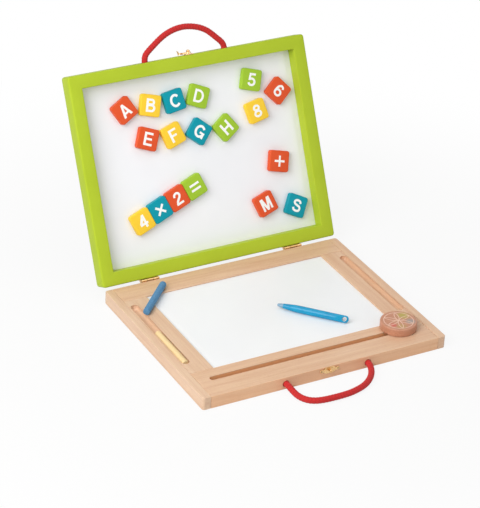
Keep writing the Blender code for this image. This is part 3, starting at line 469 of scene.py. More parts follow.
class Nodes:
    """A node tree, with short calls that add and link its nodes."""

    def __init__(self, tree):
        self.tree = tree

    def feed(self, socket, value):
        if isinstance(value, bpy.types.NodeSocket):
            self.tree.links.new(value, socket)
        else:
            socket.default_value = value

    def node(self, kind, inputs=None, **settings):
        made = self.tree.nodes.new(kind)
        for key, value in settings.items():
            setattr(made, key, value)
        for key, value in (inputs or {}).items():
            self.feed(made.inputs[key], value)
        return made

    def math(self, operation, a, b=0.0):
        return self.node("ShaderNodeMath", {0: a, 1: b}, operation=operation).outputs["Value"]

    def times(self, a, b):
        return self.math("MULTIPLY", a, b)

    def vector(self, operation, a, b=(0, 0, 0)):
        return self.node("ShaderNodeVectorMath", {0: a, 1: b}, operation=operation).outputs

    def sees_backdrop(self):
        """1 for what the camera, reflections or clear plastic show, and 0 for light on surfaces."""
        path = self.node("ShaderNodeLightPath").outputs
        share = self.math("MAXIMUM", path["Is Camera Ray"], path["Is Glossy Ray"])
        return self.math("MAXIMUM", share, path["Is Transmission Ray"])

    def end_in_mix(self, output, share, a, b):
        """Feed this output node with a where the share is 0 and b where it is 1."""
        mix = self.node("ShaderNodeMixShader", {"Fac": share, 1: a, 2: b})
        self.feed(self.tree.nodes[output].inputs["Surface"], mix.outputs["Shader"])


class Shader(Nodes):
    """The node tree of a new material. Its patterns lie in the object's coordinates, as a rule."""

    def __init__(self, name):
        self.material = bpy.data.materials.new(name)
        self.material.use_nodes = True
        super().__init__(self.material.node_tree)
        self.surface = self.tree.nodes["Principled BSDF"]
        self.coords = self.node("ShaderNodeTexCoord").outputs["Object"]

    def set(self, name, value):
        self.feed(self.surface.inputs[name], value)

    def roughness(self, spots, low, high):
        """Roughness that goes from low to high with the value of these spots."""
        made = self.node("ShaderNodeMapRange", {"Value": spots, "To Min": low, "To Max": high})
        self.set("Roughness", made.outputs["Result"])

    def mapped(self, scale=(1, 1, 1), turned=(0, 0, 0), moved=(0, 0, 0), coords=None):
        inputs = {"Vector": self.coords if coords is None else coords, "Scale": scale,
                  "Rotation": turned, "Location": moved}
        return self.node("ShaderNodeMapping", inputs).outputs["Vector"]

    def noise(self, scale, detail, roughness=0.5, distortion=0.0, coords=None):
        inputs = {"Vector": self.coords if coords is None else coords, "Scale": scale,
                  "Detail": detail, "Roughness": roughness, "Distortion": distortion}
        return self.node("ShaderNodeTexNoise", inputs).outputs["Fac"]

    def streaks(self, scale, detail, roughness=0.5, distortion=0.0, turned=(0, 0, 0), coords=None):
        """Noise that is finer along the axes with the larger scales."""
        stretched = self.mapped(scale, turned, coords=coords)
        return self.noise(1.0, detail, roughness, distortion, stretched)

    def split(self, coords):
        return self.node("ShaderNodeSeparateXYZ", {"Vector": coords}).outputs

    def rise(self, value, low, high):
        """0 at low, 1 at high and smooth between them, also where low is the larger."""
        inputs = {"Value": value, "From Min": low, "From Max": high}
        made = self.node("ShaderNodeMapRange", inputs, interpolation_type="SMOOTHSTEP")
        return made.outputs["Result"]

    def ramp(self, fac, stops):
        made = self.node("ShaderNodeValToRGB", {"Fac": fac})
        line = made.color_ramp
        while len(line.elements) < len(stops):
            line.elements.new(0.5)
        for element, (place, rgb) in zip(line.elements, stops):
            element.position = place
            element.color = colour(rgb)
        return made.outputs["Color"]

    def mix(self, share, a, b, blend="MIX"):
        made = self.node("ShaderNodeMix", data_type="RGBA", blend_type=blend)
        self.feed(made.inputs["Factor"], share)
        self.feed(made.inputs["A"], a if isinstance(a, bpy.types.NodeSocket) else colour(a))
        self.feed(made.inputs["B"], b if isinstance(b, bpy.types.NodeSocket) else colour(b))
        return made.outputs["Result"]

    def bump(self, height, depth, strength):
        """Surface relief of this depth in metres."""
        inputs = {"Height": height, "Distance": depth, "Strength": strength}
        self.set("Normal", self.node("ShaderNodeBump", inputs).outputs["Normal"])


def beech(name, along, seed, tone, inside=None):
    """Clear-finished beech with its grain along this axis, redder for a tone above 0 and paler for
    one below. Inside gives the share of painted light and shade on its surface, from the shader."""
    shader = Shader(name)
    turned = (0, 0, 0) if along == "x" else (0, 0, math.pi / 2)
    plank = shader.mapped(turned=turned, moved=(seed * 0.37, seed * 0.61, seed * 0.23))
    figure = shader.streaks((4, 34, 34), 2, 0.55, 1.2, coords=plank)
    lines = shader.streaks((7, 190, 190), 3, 0.6, 0.8, coords=plank)
    flecks = shader.rise(shader.streaks((330, 2300, 2300), 1, coords=plank), 0.6, 0.72)
    fibre = shader.streaks((60, 3400, 3400), 2, coords=plank)
    wood = shader.ramp(figure, [(0.28, (216, 178, 146)), (0.5, (228, 194, 162)),
                                (0.75, (236, 207, 180))])
    veins = shader.ramp(lines, [(0.3, (205, 157, 125)), (0.62, (235, 205, 174))])
    wood = shader.mix(0.42, wood, veins)
    fine = shader.ramp(fibre, [(0.25, (222, 190, 158)), (0.75, (255, 250, 242))])
    wood = shader.mix(0.22, wood, fine, "MULTIPLY")
    wood = shader.mix(shader.times(flecks, 0.34), wood, (180, 124, 88))
    if tone > 0:
        wood = shader.mix(tone, wood, (214, 150, 112))
    else:
        wood = shader.mix(-tone, wood, (226, 208, 192))
    if inside is not None:
        # A warm orange, painted as light on the slot's walls and as shade in the troughs and on the
        # front face
        wood = shader.mix(inside(shader), wood, (252, 188, 134))
    shader.set("Base Color", wood)
    shader.roughness(fibre, 0.36, 0.52)
    shader.bump(shader.math("ADD", fibre, shader.times(flecks, -0.8)), 0.00005, 0.5)
    return shader.material


def walls(shader, height, from_middle, half_width, tint):
    """Share of the painted light and shade on the walls of a groove of this half width."""
    past, shallow, deep, most = tint
    near = shader.math("LESS_THAN", shader.math("ABSOLUTE", from_middle), half_width + past)
    share = shader.times(near, shader.rise(height, BASE_HEIGHT - shallow, BASE_HEIGHT - deep))
    return shader.times(share, most)


def slot_light_and_front_shade(shader):
    """Painted light on the walls of the slide slot, and painted shade on the board's front face."""
    axis = shader.split(shader.coords)
    from_middle = shader.math("SUBTRACT", axis["Y"], SLOT_Y)
    # Painted light on the slot's walls
    slot = walls(shader, axis["Z"], from_middle, SLOT_HALF_WIDTH, SLOT_PAINTED_LIGHT)
    # Painted shade on the front face of the front board
    front = shader.math("LESS_THAN", axis["Y"], FRONT_SKIN - HALF_DEPTH)
    return shader.math("ADD", slot, shader.times(front, FRONT_PAINTED_SHADE))


def trough_painted_shade_share(shader):
    """Painted shade on the walls of the chalk troughs."""
    axis = shader.split(shader.coords)
    from_middle = shader.math("SUBTRACT", shader.math("ABSOLUTE", axis["X"]), TROUGH_X)
    # Painted shade, growing deeper down the trough walls
    return walls(shader, axis["Z"], from_middle, TROUGH_RADIUS, TROUGH_PAINTED_SHADE)


def paint(name, rgb, roughness, spread, relief, grain=False, gloss=0.5):
    """Sprayed paint: patches of tone, slight orange peel and, on wood, the grain showing through."""
    shader = Shader(name)
    deep = tuple(c * (1 - spread) for c in rgb)
    pale = tuple(min(255, c + (255 - c) * spread) for c in rgb)
    shader.set("Base Color", shader.ramp(shader.noise(22, 3), [(0.3, deep), (0.7, pale)]))
    peel = shader.noise(900, 2)
    if grain:
        fibre = shader.streaks((80, 1400, 1400), 2)
        peel = shader.math("ADD", shader.times(fibre, 0.7), shader.times(peel, 0.5))
    shader.roughness(shader.noise(160, 2), roughness - 0.06, roughness + 0.08)
    shader.bump(peel, relief, 0.6)
    shader.set("Specular IOR Level", gloss)
    return shader.material


def whiteboard():
    """Enamelled board with faint traces of wiped ink."""
    shader = Shader("whiteboard_enamel")
    cloud = shader.noise(9, 3, 0.6)
    base = shader.ramp(cloud, [(0.3, (237, 238, 242)), (0.7, (242, 243, 246))])
    wiped = shader.streaks((6, 60, 60), 4, 0.6, 1.5, (0, 0, 0.4))
    trace = shader.rise(wiped, 0.62, 0.8)
    shader.set("Base Color", shader.mix(shader.times(trace, 0.05), base, (190, 196, 204)))
    shader.roughness(cloud, 0.14, 0.26)
    shader.bump(shader.noise(500, 2), 0.00001, 0.4)
    return shader.material


def chalkboard():
    """Matt slate paint with chalk dust wiped across it."""
    shader = Shader("chalkboard_slate")
    tooth = shader.noise(2600, 2)
    base = shader.ramp(tooth, [(0.3, (40, 48, 46)), (0.7, (58, 66, 63))])
    sweep = shader.streaks((5, 26, 26), 5, 0.62, 1.0, (0.4, 0, 0.6))
    dust = shader.rise(sweep, 0.45, 0.85)
    shader.set("Base Color", shader.mix(shader.times(dust, 0.16), base, (176, 182, 178)))
    shader.set("Roughness", 0.85)
    shader.bump(tooth, 0.00004, 0.6)
    return shader.material


def drawing_sheet():
    """Pale plastic drawing sheet over a honeycomb of cells that shows faintly."""
    shader = Shader("drawing_sheet")
    wall = honeycomb(shader, 0.0026)
    cloud = shader.noise(7, 3)
    base = shader.ramp(cloud, [(0.3, (242, 243, 245)), (0.7, (247, 248, 249))])
    shader.set("Base Color", shader.mix(shader.times(wall, 0.07), base, (196, 202, 208)))
    shader.roughness(shader.noise(60, 3), 0.28, 0.42)
    shader.bump(shader.noise(320, 2), 0.00001, 0.4)
    return shader.material


def honeycomb(shader, pitch):
    """1 on the walls between hexagonal cells in the XY plane, and 0 inside them."""
    tall = pitch * math.sqrt(3)
    whole_cells = 400
    cells = []
    for shift in (whole_cells, whole_cells + 0.5):
        moved = shader.vector("ADD", shader.coords, (pitch * shift, tall * shift, 0))["Vector"]
        wrapped = shader.vector("MODULO", moved, (pitch, tall, 1))["Vector"]
        axis = shader.split(shader.vector("SUBTRACT", wrapped, (pitch / 2, tall / 2, 0))["Vector"])
        across = shader.math("ABSOLUTE", axis["X"])
        up = shader.math("ABSOLUTE", axis["Y"])
        slant = shader.math("ADD", shader.times(across, 0.5), shader.times(up, math.sqrt(3) / 2))
        cells.append(shader.math("MAXIMUM", across, slant))
    reach = shader.math("MINIMUM", cells[0], cells[1])
    return shader.rise(reach, pitch * 0.42, pitch * 0.48)


def brass(name):
    """Brass with patches of tarnish and fine scratches."""
    shader = Shader(name)
    tarnish = shader.noise(240, 4, 0.6)
    shader.set("Base Color", shader.ramp(tarnish, [(0.3, (204, 160, 102)), (0.7, (240, 204, 152))]))
    shader.set("Metallic", 1.0)
    shader.roughness(shader.noise(900, 3), 0.18, 0.36)
    shader.bump(shader.streaks((4000, 260, 4000), 1), 0.00001, 0.3)
    return shader.material


def rope_yarn():
    """Braided cotton yarn, with painted shade between its strands, where the meshes' attribute braid
    is 0.
    """
    shader = Shader("red_yarn")
    top = shader.node("ShaderNodeAttribute", attribute_name="braid").outputs["Fac"]
    fuzz = shader.noise(2600, 3, 0.6)
    base = shader.ramp(fuzz, [(0.3, (188, 24, 25)), (0.72, (206, 38, 35))])
    # Painted shade: darker red in the gaps between strands
    shader.set("Base Color", shader.mix(shader.rise(top, 0.6, 0.0), base, (150, 14, 19)))
    shader.set("Roughness", 0.85)
    shader.set("Sheen Weight", 0.1)
    shader.set("Sheen Roughness", 0.5)
    fibre = shader.noise(5200, 2, 0.7)
    shader.bump(fibre, 0.00012, 0.7)
    return shader.material


def stylus_plastic():
    """Tinted plastic that lets some light through."""
    shader = Shader("stylus_plastic")
    cloud = shader.noise(70, 2)
    shader.set("Base Color", shader.ramp(cloud, [(0.3, (0, 154, 202)), (0.7, (18, 170, 214))]))
    shader.roughness(cloud, 0.16, 0.26)
    shader.set("Transmission Weight", 0.2)
    shader.set("Specular IOR Level", 0.32)
    shader.set("IOR", 1.46)
    return shader.material


def chalk(name, deep, pale):
    """Pressed chalk: powdery, with pores and rubbed patches."""
    shader = Shader(name)
    powder = shader.noise(700, 5, 0.7)
    pores = shader.rise(shader.noise(2400, 2), 0.62, 0.74)
    base = shader.ramp(powder, [(0.32, deep), (0.7, pale)])
    shader.set("Base Color", shader.mix(shader.times(pores, 0.3), base, deep))
    shader.set("Roughness", 0.95)
    height = shader.math("SUBTRACT", powder, shader.times(pores, 0.6))
    shader.bump(height, 0.00012, 0.6)
    return shader.material


def plastic(name, deep, pale, roughness=0.45):
    shader = Shader(name)
    cloud = shader.noise(90, 3)
    shader.set("Base Color", shader.ramp(cloud, [(0.3, deep), (0.7, pale)]))
    shader.roughness(shader.noise(700, 2), roughness - 0.06, roughness + 0.08)
    shader.bump(shader.noise(1200, 2), 0.00002, 0.4)
    return shader.material


# Rope handles
def rope_mesh(name, route, material):
    """Round braid along a route: two sets of strands wind opposite ways and pass over and under."""
    points, length = even_route(catmull(route, 24), ROPE_RING_STEP)
    last = (points[1] - points[0]).normalized()
    side = last.cross(Vector((0, 0.2, 1))).normalized()
    bm = bmesh.new()
    braid = bm.verts.layers.float.new("braid")
    rings = []
    travelled = 0.0
    for i, point in enumerate(points):
        ahead = (points[min(i + 1, len(points) - 1)] - points[max(i - 1, 0)]).normalized()
        side = last.rotation_difference(ahead) @ side
        side = (side - ahead * side.dot(ahead)).normalized()
        other = ahead.cross(side)
        last = ahead
        ring = []
        for k in range(ROPE_SIDES):
            angle = 2 * math.pi * k / ROPE_SIDES
            height = braid_height(angle, travelled)
            radius = ROPE_RADIUS - ROPE_BRAID_DEPTH * (1 - height)
            vert = bm.verts.new(point + (side * math.cos(angle) + other * math.sin(angle)) * radius)
            vert[braid] = height
            ring.append(vert)
        rings.append(ring)
        travelled += ROPE_RING_STEP
    for low, high in zip(rings, rings[1:]):
        skin(bm, low, high)
    bm.faces.new(list(reversed(rings[0])))
    bm.faces.new(rings[-1])
    return make_object(name, bm, material, sharp_deg=80), points, length


def braid_height(angle, along):
    """1 on top of a strand, and 0 in the gaps between strands."""
    round_share = ROPE_STRANDS * angle / (2 * math.pi)
    along_share = along / ROPE_BRAID_STEP
    heights = []
    for way in (1, -1):
        across = round_share + way * along_share
        crossing = round_share - way * along_share
        bulge = math.cos(math.pi * (across % 1 - 0.5))
        weave = 0.5 + 0.5 * way * math.cos(math.pi * (math.floor(across) + crossing))
        heights.append(math.sqrt(max(bulge, 0)) * (0.45 + 0.55 * weave))
    return max(heights)


def ropes(material):
    lid_route = [lid_point(x, BASE_DEPTH + s, LID_MIDDLE) for x, s in LID_ROPE_ROUTE]
    routes = {
        "base": [(x, y - HALF_DEPTH, z) for x, y, z in BASE_ROPE_ROUTE],
        "lid": [LID_MATRIX @ Vector(place) for place in lid_route],
    }
    for body, route in routes.items():
        rope, path, length = rope_mesh(f"{body}_rope_braid", route, material)
        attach(rope, body)
        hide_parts(f"{body}_handle_rope")


# Lid
def lid_frame(material):
    """The four painted rails as one frame with soft edges and its two rope holes."""
    lip = LID_RECESS - LID_BOARD_GAP
    inner = LID_RAIL_WIDTH - LID_REBATE_WIDTH
    profile = arc((LID_EDGE_RADIUS, LID_THICK - LID_EDGE_RADIUS), LID_EDGE_RADIUS, 90, 180, 5)
    profile += arc((LID_EDGE_RADIUS, LID_EDGE_RADIUS), LID_EDGE_RADIUS, 180, 270, 5)
    edge = LID_RAIL_WIDTH - LID_INNER_EDGE_RADIUS
    profile += arc((edge, LID_INNER_EDGE_RADIUS), LID_INNER_EDGE_RADIUS, -90, 0, 4)
    profile += [(LID_RAIL_WIDTH, lip), (inner, lip), (inner, LID_THICK)]
    loops = []
    for inset, depth in profile:
        radius = max(LID_CORNER_RADIUS - inset, LID_LEAST_CORNER)
        outline = rounded_rectangle(inset - HALF_WIDTH, inset, HALF_WIDTH - inset,
                                    BASE_DEPTH - inset, radius)
        loops.append([lid_point(x, s, depth) for x, s in outline])
    ob = make_object("lid_frame", loft(loops, ring=True), material, LID_MATRIX)
    for side in (-1, 1):
        ring = circle(ROPE_HOLE_RADIUS, 48, (side * ROPE_SPACING / 2, LID_MIDDLE))
        loops = [[lid_point(x, s, n) for x, n in ring]
                 for s in (BASE_DEPTH - ROPE_HOLE_DEPTH, BASE_DEPTH + CUT_OVERRUN)]
        cut(ob, make_object("hole", loft(loops), material, LID_MATRIX))
    settle(ob)
    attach(ob, "lid")
    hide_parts("lid_left_rail", "lid_right_rail", "lid_bottom_rail", "lid_top_rail")


# Letters, drawn one unit high
def ribbon(points, width=STROKE):
    """Outline of an even stroke along a line."""
    line = [Vector(p) for p in points]
    left, right = [], []
    for i, point in enumerate(line):
        along = (line[min(i + 1, len(line) - 1)] - line[max(i - 1, 0)]).normalized()
        out = Vector((-along.y, along.x)) * width / 2
        left.append(point + out)
        right.append(point - out)
    return [tuple(p) for p in left + right[::-1]]


def curve(points, width=ROUND_STROKE):
    return ribbon(catmull(points, 8), width)


def bowl(x, y, across, up, turn_deg=80, steps=16):
    """Stroke that leaves a letter's stem, goes round this middle and comes back to the stem."""
    stem = STROKE / 2
    line = [(stem, y + up), (x, y + up)] + oval((x, y), across, up, turn_deg, -turn_deg, steps)
    return ribbon(line + [(stem, y - up)], ROUND_STROKE)


def letter_shapes(name):
    """Polygons whose union is the character."""
    half = STROKE / 2
    top = 1 - half
    stem = box(0, 0, STROKE, 1)
    six = oval((0.34, 0.32), 0.25, 0.32 - half, 0, 360, 28)
    eight = []
    for middle, across, up in ((0.735, 0.215, 0.265 - half), (0.29, 0.255, 0.29 - half)):
        ring = oval((0.34, middle), across, up, 0, 360, 28)
        eight += [ribbon(part, 0.165) for part in (ring[:16], ring[14:], ring[27:] + ring[1:3])]
    return {
        "A": [[(0, 0), (0.2, 0), (0.5, 1), (0.32, 1)], [(0.63, 0), (0.83, 0), (0.51, 1), (0.33, 1)],
              box(0.17, 0.2, 0.66, 0.36)],
        "B": [stem, bowl(0.43, 0.74, 0.165, 0.175), bowl(0.46, 0.3, 0.2, 0.215)],
        "C": [ribbon(oval((0.43, 0.5), 0.34, 0.5 - half, 40, 320, 32))],
        "D": [stem, bowl(0.36, 0.5, 0.35, 0.415, 84, 24)],
        "E": [stem, box(0, 0, 0.7, 0.17), box(0, 0.42, 0.64, 0.58), box(0, 0.83, 0.69, 1)],
        "F": [stem, box(0, 0.4, 0.57, 0.56), box(0, 0.83, 0.65, 1)],
        "G": [ribbon(oval((0.43, 0.5), 0.34, 0.5 - half, 40, 335, 36)), box(0.45, 0.36, 0.86, 0.52),
              box(0.7, 0.05, 0.86, 0.52)],
        "H": [stem, box(0.57, 0, 0.755, 1), box(0, 0.41, 0.7, 0.58)],
        "M": [box(0, 0, 0.175, 1), box(0.685, 0, 0.86, 1),
              [(0, 1), (0.26, 1), (0.51, 0), (0.35, 0)], [(0.86, 1), (0.6, 1), (0.35, 0), (0.51, 0)]],
        "S": [curve([(0.62, 0.69), (0.57, 0.84), (0.38, top), (0.18, 0.86), (0.11, 0.73),
                     (0.19, 0.6), (0.38, 0.525), (0.58, 0.45), (0.65, 0.29), (0.58, 0.14),
                     (0.38, half), (0.17, 0.15), (0.09, 0.31)], 0.175)],
        "2": [curve([(0.09, 0.66), (0.13, 0.82), (0.32, top), (0.49, 0.84), (0.54, 0.69),
                     (0.47, 0.54), (0.31, 0.4), (0.17, 0.26), (0.11, 0.08)], 0.175),
              box(0.01, 0, 0.64, 0.165)],
        "4": [box(0.38, 0, 0.565, 1), box(0, 0.215, 0.68, 0.375),
              [(0, 0.3), (0.17, 0.3), (0.565, 0.88), (0.565, 1), (0.38, 1), (0, 0.42)]],
        "5": [box(0.13, 0.83, 0.64, 1), [(0.06, 0.45), (0.23, 0.45), (0.29, 1), (0.13, 1)],
              curve([(0.12, 0.49), (0.22, 0.56), (0.37, 0.57), (0.52, 0.5), (0.59, 0.33),
                     (0.52, 0.16), (0.35, half), (0.17, 0.14), (0.09, 0.27)])],
        "6": [ribbon(six[:15], ROUND_STROKE), ribbon(six[13:], ROUND_STROKE),
              curve([(0.09, 0.32), (0.1, 0.56), (0.18, 0.79), (0.35, top), (0.49, 0.87),
                     (0.57, 0.74)])],
        "8": eight,
        "plus": [box(0, 0.42, 0.84, 0.58), box(0.34, 0.08, 0.5, 0.92)],
        "times": [ribbon([(0.02, 0.17), (0.68, 0.83)], ROUND_STROKE),
                  ribbon([(0.02, 0.83), (0.68, 0.17)], ROUND_STROKE)],
        "equals": [box(0, 0.22, 0.84, 0.39), box(0, 0.61, 0.84, 0.78)],
    }[name]


def flat_union(shapes, tolerance, middle=(0, 0)):
    """Union of flat outlines as a bmesh one unit thick, with this middle moved to the origin."""
    points, faces = [], []
    for shape in shapes:
        area = sum(p[0] * q[1] - q[0] * p[1] for p, q in zip(shape, shape[1:] + shape[:1]))
        if area < 0:
            shape = shape[::-1]
        faces.append(list(range(len(points), len(points) + len(shape))))
        points += [Vector(p) for p in shape]
    inside_outlines = 1
    union = geometry.delaunay_2d_cdt(points, [], faces, inside_outlines, tolerance)
    places, _, triangles, _, _, sources = union
    bm = bmesh.new()
    verts = [bm.verts.new((p.x - middle[0], p.y - middle[1], 0)) for p in places]
    for face, origins in zip(triangles, sources):
        if origins:
            bm.faces.new([verts[i] for i in face])
    bmesh.ops.delete(bm, geom=[v for v in bm.verts if not v.link_faces], context="VERTS")
    bmesh.ops.dissolve_limit(bm, angle_limit=0.01, verts=bm.verts, edges=bm.edges)
    made = bmesh.ops.extrude_face_region(bm, geom=bm.faces[:])["geom"]
    raised = [v for v in made if isinstance(v, bmesh.types.BMVert)]
    bmesh.ops.translate(bm, vec=(0, 0, 1), verts=raised)
    return bm


def letter_mesh(name):
    """The character, centred and one unit high."""
    shapes = letter_shapes(name)
    across = [x for shape in shapes for x, _ in shape]
    return flat_union(shapes, 0.0001, ((min(across) + max(across)) / 2, 0.5))


# Tiles
def tile_mesh():
    """Rounded square with its front edges rounded, its front face at z = 0."""
    half = TILE_SIZE / 2
    back_edge = TILE_EDGE_RADIUS / 2
    levels = [(-TILE_THICK, back_edge), (-TILE_THICK + back_edge, 0)]
    for angle in [math.radians(18 * i) for i in range(6)]:
        levels.append((-TILE_EDGE_RADIUS * (1 - math.sin(angle)),
                       TILE_EDGE_RADIUS * (1 - math.cos(angle))))
    rings = []
    for height, inset in levels:
        outline = rounded_rectangle(inset - half, inset - half, half - inset, half - inset,
                                    TILE_CORNER_RADIUS - inset)
        rings.append([(x, y, height) for x, y in outline])
    return loft(rings)


def tiles():
    paints = {name: paint("tile_" + name, rgb, 0.34, 0.02, 0.00003, gloss=0.14)
              for name, rgb in TILE_COLOURS.items()}
    ink = paint("letter_white", (250, 250, 247), 0.45, 0.01, 0.00001)
    for name, (tone, turn_deg) in TILE_FINISH.items():
        low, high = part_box("tile_" + name)
        leaning = Matrix.Translation((low + high) / 2) @ LID_MATRIX.to_3x3().to_4x4()
        place = leaning @ turn(turn_deg, "Z") @ Matrix.Translation((0, 0, TILE_THICK / 2))
        tile = make_object("tile_block_" + name, tile_mesh(), paints[tone], place)
        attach(tile, "magnet_tile_" + name)
        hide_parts("tile_" + name)
        scale = Matrix.Diagonal((LETTER_HEIGHT, LETTER_HEIGHT, LETTER_THICK, 1))
        letter = make_object("tile_letter_" + name, letter_mesh(name), ink, place @ scale)
        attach(letter, "magnet_tile_" + name)


# Knob
def knob_print(material):
    """Pale lines on the knob's top: a rim line and a six-petalled rosette drawn with compasses."""
    low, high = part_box("slider_knob")
    middle = ((low.x + high.x) / 2, (low.y + high.y) / 2, high.z)
    rim = KNOB_PRINT_RADIUS
    shapes = [ribbon(arc((0, 0), rim, start, start + 184, 48), KNOB_LINE_WIDTH)
              for start in (-2, 178)]
    for i in range(KNOB_PETALS):
        way = 360 / KNOB_PETALS * i + KNOB_PETAL_TURN_DEG
        centre = (rim * math.cos(math.radians(way)), rim * math.sin(math.radians(way)))
        shapes.append(ribbon(arc(centre, rim, way + 120, way + 240, 24), KNOB_LINE_WIDTH))
    bm = flat_union(shapes, 0.000001)
    thin = Matrix.Diagonal((1, 1, KNOB_PRINT_THICK, 1))
    ob = make_object("knob_print", bm, material, Matrix.Translation(middle) @ thin)
    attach(ob, "eraser")


def knob_wood():
    """Stained beech with soft patches of red, green and blue dye on its top."""
    shader = Shader("knob_stain")
    low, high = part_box("slider_knob")
    middle = (low + high) / 2
    grain = shader.streaks((30, 900, 900), 3)
    base = shader.ramp(grain, [(0.3, (186, 126, 98)), (0.7, (204, 146, 116))])
    for across, back, reach, rgb in KNOB_PATCHES:
        place = (middle.x + across, middle.y + back, high.z)
        away = shader.vector("DISTANCE", shader.coords, place)["Value"]
        share = shader.times(shader.rise(away, reach, reach * 0.3), 0.75)
        base = shader.mix(share, base, rgb)
    shader.set("Base Color", base)
    shader.roughness(grain, 0.35, 0.5)
    shader.bump(grain, 0.00004, 0.5)
    return shader.material


# Stylus, with its own X towards its tail
STYLUS_MATRIX = (Matrix.Translation((*STYLUS_PLACE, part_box("stylus_body")[0].z + STYLUS_RADIUS))
                 @ turn(STYLUS_TURN_DEG, "Z") @ turn(STYLUS_EYE_TILT_DEG, "X"))


def stylus_piece(name, stations, material, node):
    """Turned piece along the stylus's own X, its tail flattened round the eye for a cord."""
    tail = STYLUS_LENGTH / 2
    loops = []
    for x, radius in stations:
        share = min(max((x - tail + STYLUS_FLAT_LENGTH) / STYLUS_FLAT_BLEND, 0), 1)
        flat = 1 - (1 - STYLUS_TAIL_FLAT) * (share * share * (3 - 2 * share))
        loops.append([(x, y, z * flat) for y, z in circle(radius, 64)])
    ob = make_object(name, loft(loops), material, STYLUS_MATRIX)
    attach(ob, "stylus")
    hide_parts(node)
    return ob


def stylus(material, nib_material):
    tail = STYLUS_LENGTH / 2
    tip = STYLUS_TIP_LENGTH - tail
    stations = []
    for share in [i / 16 for i in range(17)]:
        grow = math.sin(math.radians(90 * share))
        stations.append((tip + share * STYLUS_TAPER,
                         STYLUS_TIP_RADIUS + (STYLUS_RADIUS - STYLUS_TIP_RADIUS) * grow))
    straight = tail - STYLUS_RADIUS - stations[-1][0]
    stations += [(stations[-1][0] + straight * k / 24, STYLUS_RADIUS) for k in range(1, 24)]
    for angle in [math.radians(6 * k) for k in range(15)]:
        stations.append((tail - STYLUS_RADIUS * (1 - math.sin(angle)),
                         STYLUS_RADIUS * math.cos(angle)))
    barrel = stylus_piece("stylus_barrel", stations, material, "stylus_body")
    eye = (tail - STYLUS_EYE_FROM_TAIL, 0)
    face = STYLUS_RADIUS * STYLUS_TAIL_FLAT
    levels = [(-face - CUT_OVERRUN, CUT_OVERRUN), (-face + STYLUS_EYE_EDGE, 0),
              (face - STYLUS_EYE_EDGE, 0), (face + CUT_OVERRUN, CUT_OVERRUN)]
    loops = [[(x, y, z) for x, y in circle(STYLUS_EYE_RADIUS + spread, 48, eye)]
             for z, spread in levels]
    cut(barrel, make_object("eye", loft(loops), material, STYLUS_MATRIX))
    settle(barrel)
    stations = []
    for angle in [math.radians(4 + 86 * k / 9) for k in range(10)]:
        stations.append((-tail + STYLUS_POINT_RADIUS * STYLUS_POINT_BLUNT * (1 - math.cos(angle)),
                         STYLUS_POINT_RADIUS * math.sin(angle)))
    start = stations[-1][0]
    widening = STYLUS_TIP_RADIUS - STYLUS_NIB_INSET - STYLUS_POINT_RADIUS
    for share in [k / 8 for k in range(1, 9)]:
        stations.append((start + (tip - start) * share,
                         STYLUS_POINT_RADIUS + widening * math.sin(math.pi / 2 * share)))
    stylus_piece("stylus_nib", stations, nib_material, "stylus_tip")


# Chalk
def chalk_sticks(materials):
    """Sticks with rounded ends and slightly uneven, rubbed sides."""
    for name, (radius, length, turn_deg) in CHALKS.items():
        node = "chalk_" + name
        low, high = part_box(node)
        place = Matrix.Translation((low + high) / 2) @ turn(turn_deg, "Z")
        half = length / 2
        end = []
        for angle in [math.radians(18 * k) for k in range(6)]:
            end.append((half - CHALK_END_RADIUS * (1 - math.sin(angle)),
                        radius - CHALK_END_RADIUS * (1 - math.cos(angle))))
        stations = [(-x, r) for x, r in reversed(end)]
        stations += [(end[0][0] * (k / 30 - 1), radius) for k in range(1, 60)] + end
        loops = []
        for x, r in stations:
            loop = []
            for y, z in circle(1, 64):
                spot = Vector([c * scale for c, scale in zip((x, y, z), CHALK_WEAR_SCALE)])
                worn = r + CHALK_WEAR * (noise.noise(spot) - 1)
                loop.append((x, y * worn, z * worn))
            loops.append(loop)
        ob = make_object("chalk_stick_" + name, loft(loops), materials[name], place)
        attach(ob, name + "_chalk")
        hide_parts(node)


# Latch
def lathe(stations, sides=48):
    """Solid turned round Z, through stations of height and radius."""
    return loft([[(x, y, height) for x, y in circle(radius, sides)] for height, radius in stations])


def dome(base, radius, rise, steps=8):
    """Stations of a round head that rises from this height, with nearly nothing left at its top."""
    angles = [math.radians(88 * k / steps) for k in range(steps + 1)]
    return [(base + rise * math.sin(angle), radius * math.cos(angle)) for angle in angles]


def metal_piece(name, bm, material, place, body, node=None, bevel=METAL_BEVEL, bore=None):
    """Small metal piece with its edges broken, after any bore is cut."""
    ob = make_object(name, bm, material, place)
    if bore is not None:
        cut(ob, make_object("bore", bore, material, place))
    if bevel:
        mod = ob.modifiers.new("edges", "BEVEL")
        mod.width = bevel
        mod.segments = 3
        mod.limit_method = "ANGLE"
        mod.angle_limit = math.radians(40)
        mod.harden_normals = True
    settle(ob)
    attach(ob, body)
    if node:
        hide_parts(node)


def hook_outline():
    """A ring round the pivot, an arm along -X, and a fork whose mouth opens to -Y."""
    eye = STUD_RADIUS + STUD_FIT
    blend = math.degrees(math.asin(HOOK_ARM_WIDTH / 2 / HOOK_RING_RADIUS))
    mouth = math.degrees(math.acos(eye / HOOK_RING_RADIUS))
    end = (-HOOK_LENGTH, 0)
    points = arc((0, 0), HOOK_RING_RADIUS, blend - 180, 180 - blend, 48)
    points += arc(end, HOOK_RING_RADIUS, blend, mouth, 8)
    points += arc(end, eye, 0, -180, 24)
    points += arc(end, HOOK_RING_RADIUS, 180 - mouth, 360 - blend, 40)
    return [(x, -y) for x, y in points]


def plate(outline, low, high):
    """Flat piece of this outline between two heights."""
    return loft([[(x, y, height) for x, y in outline] for height in (low, high)])


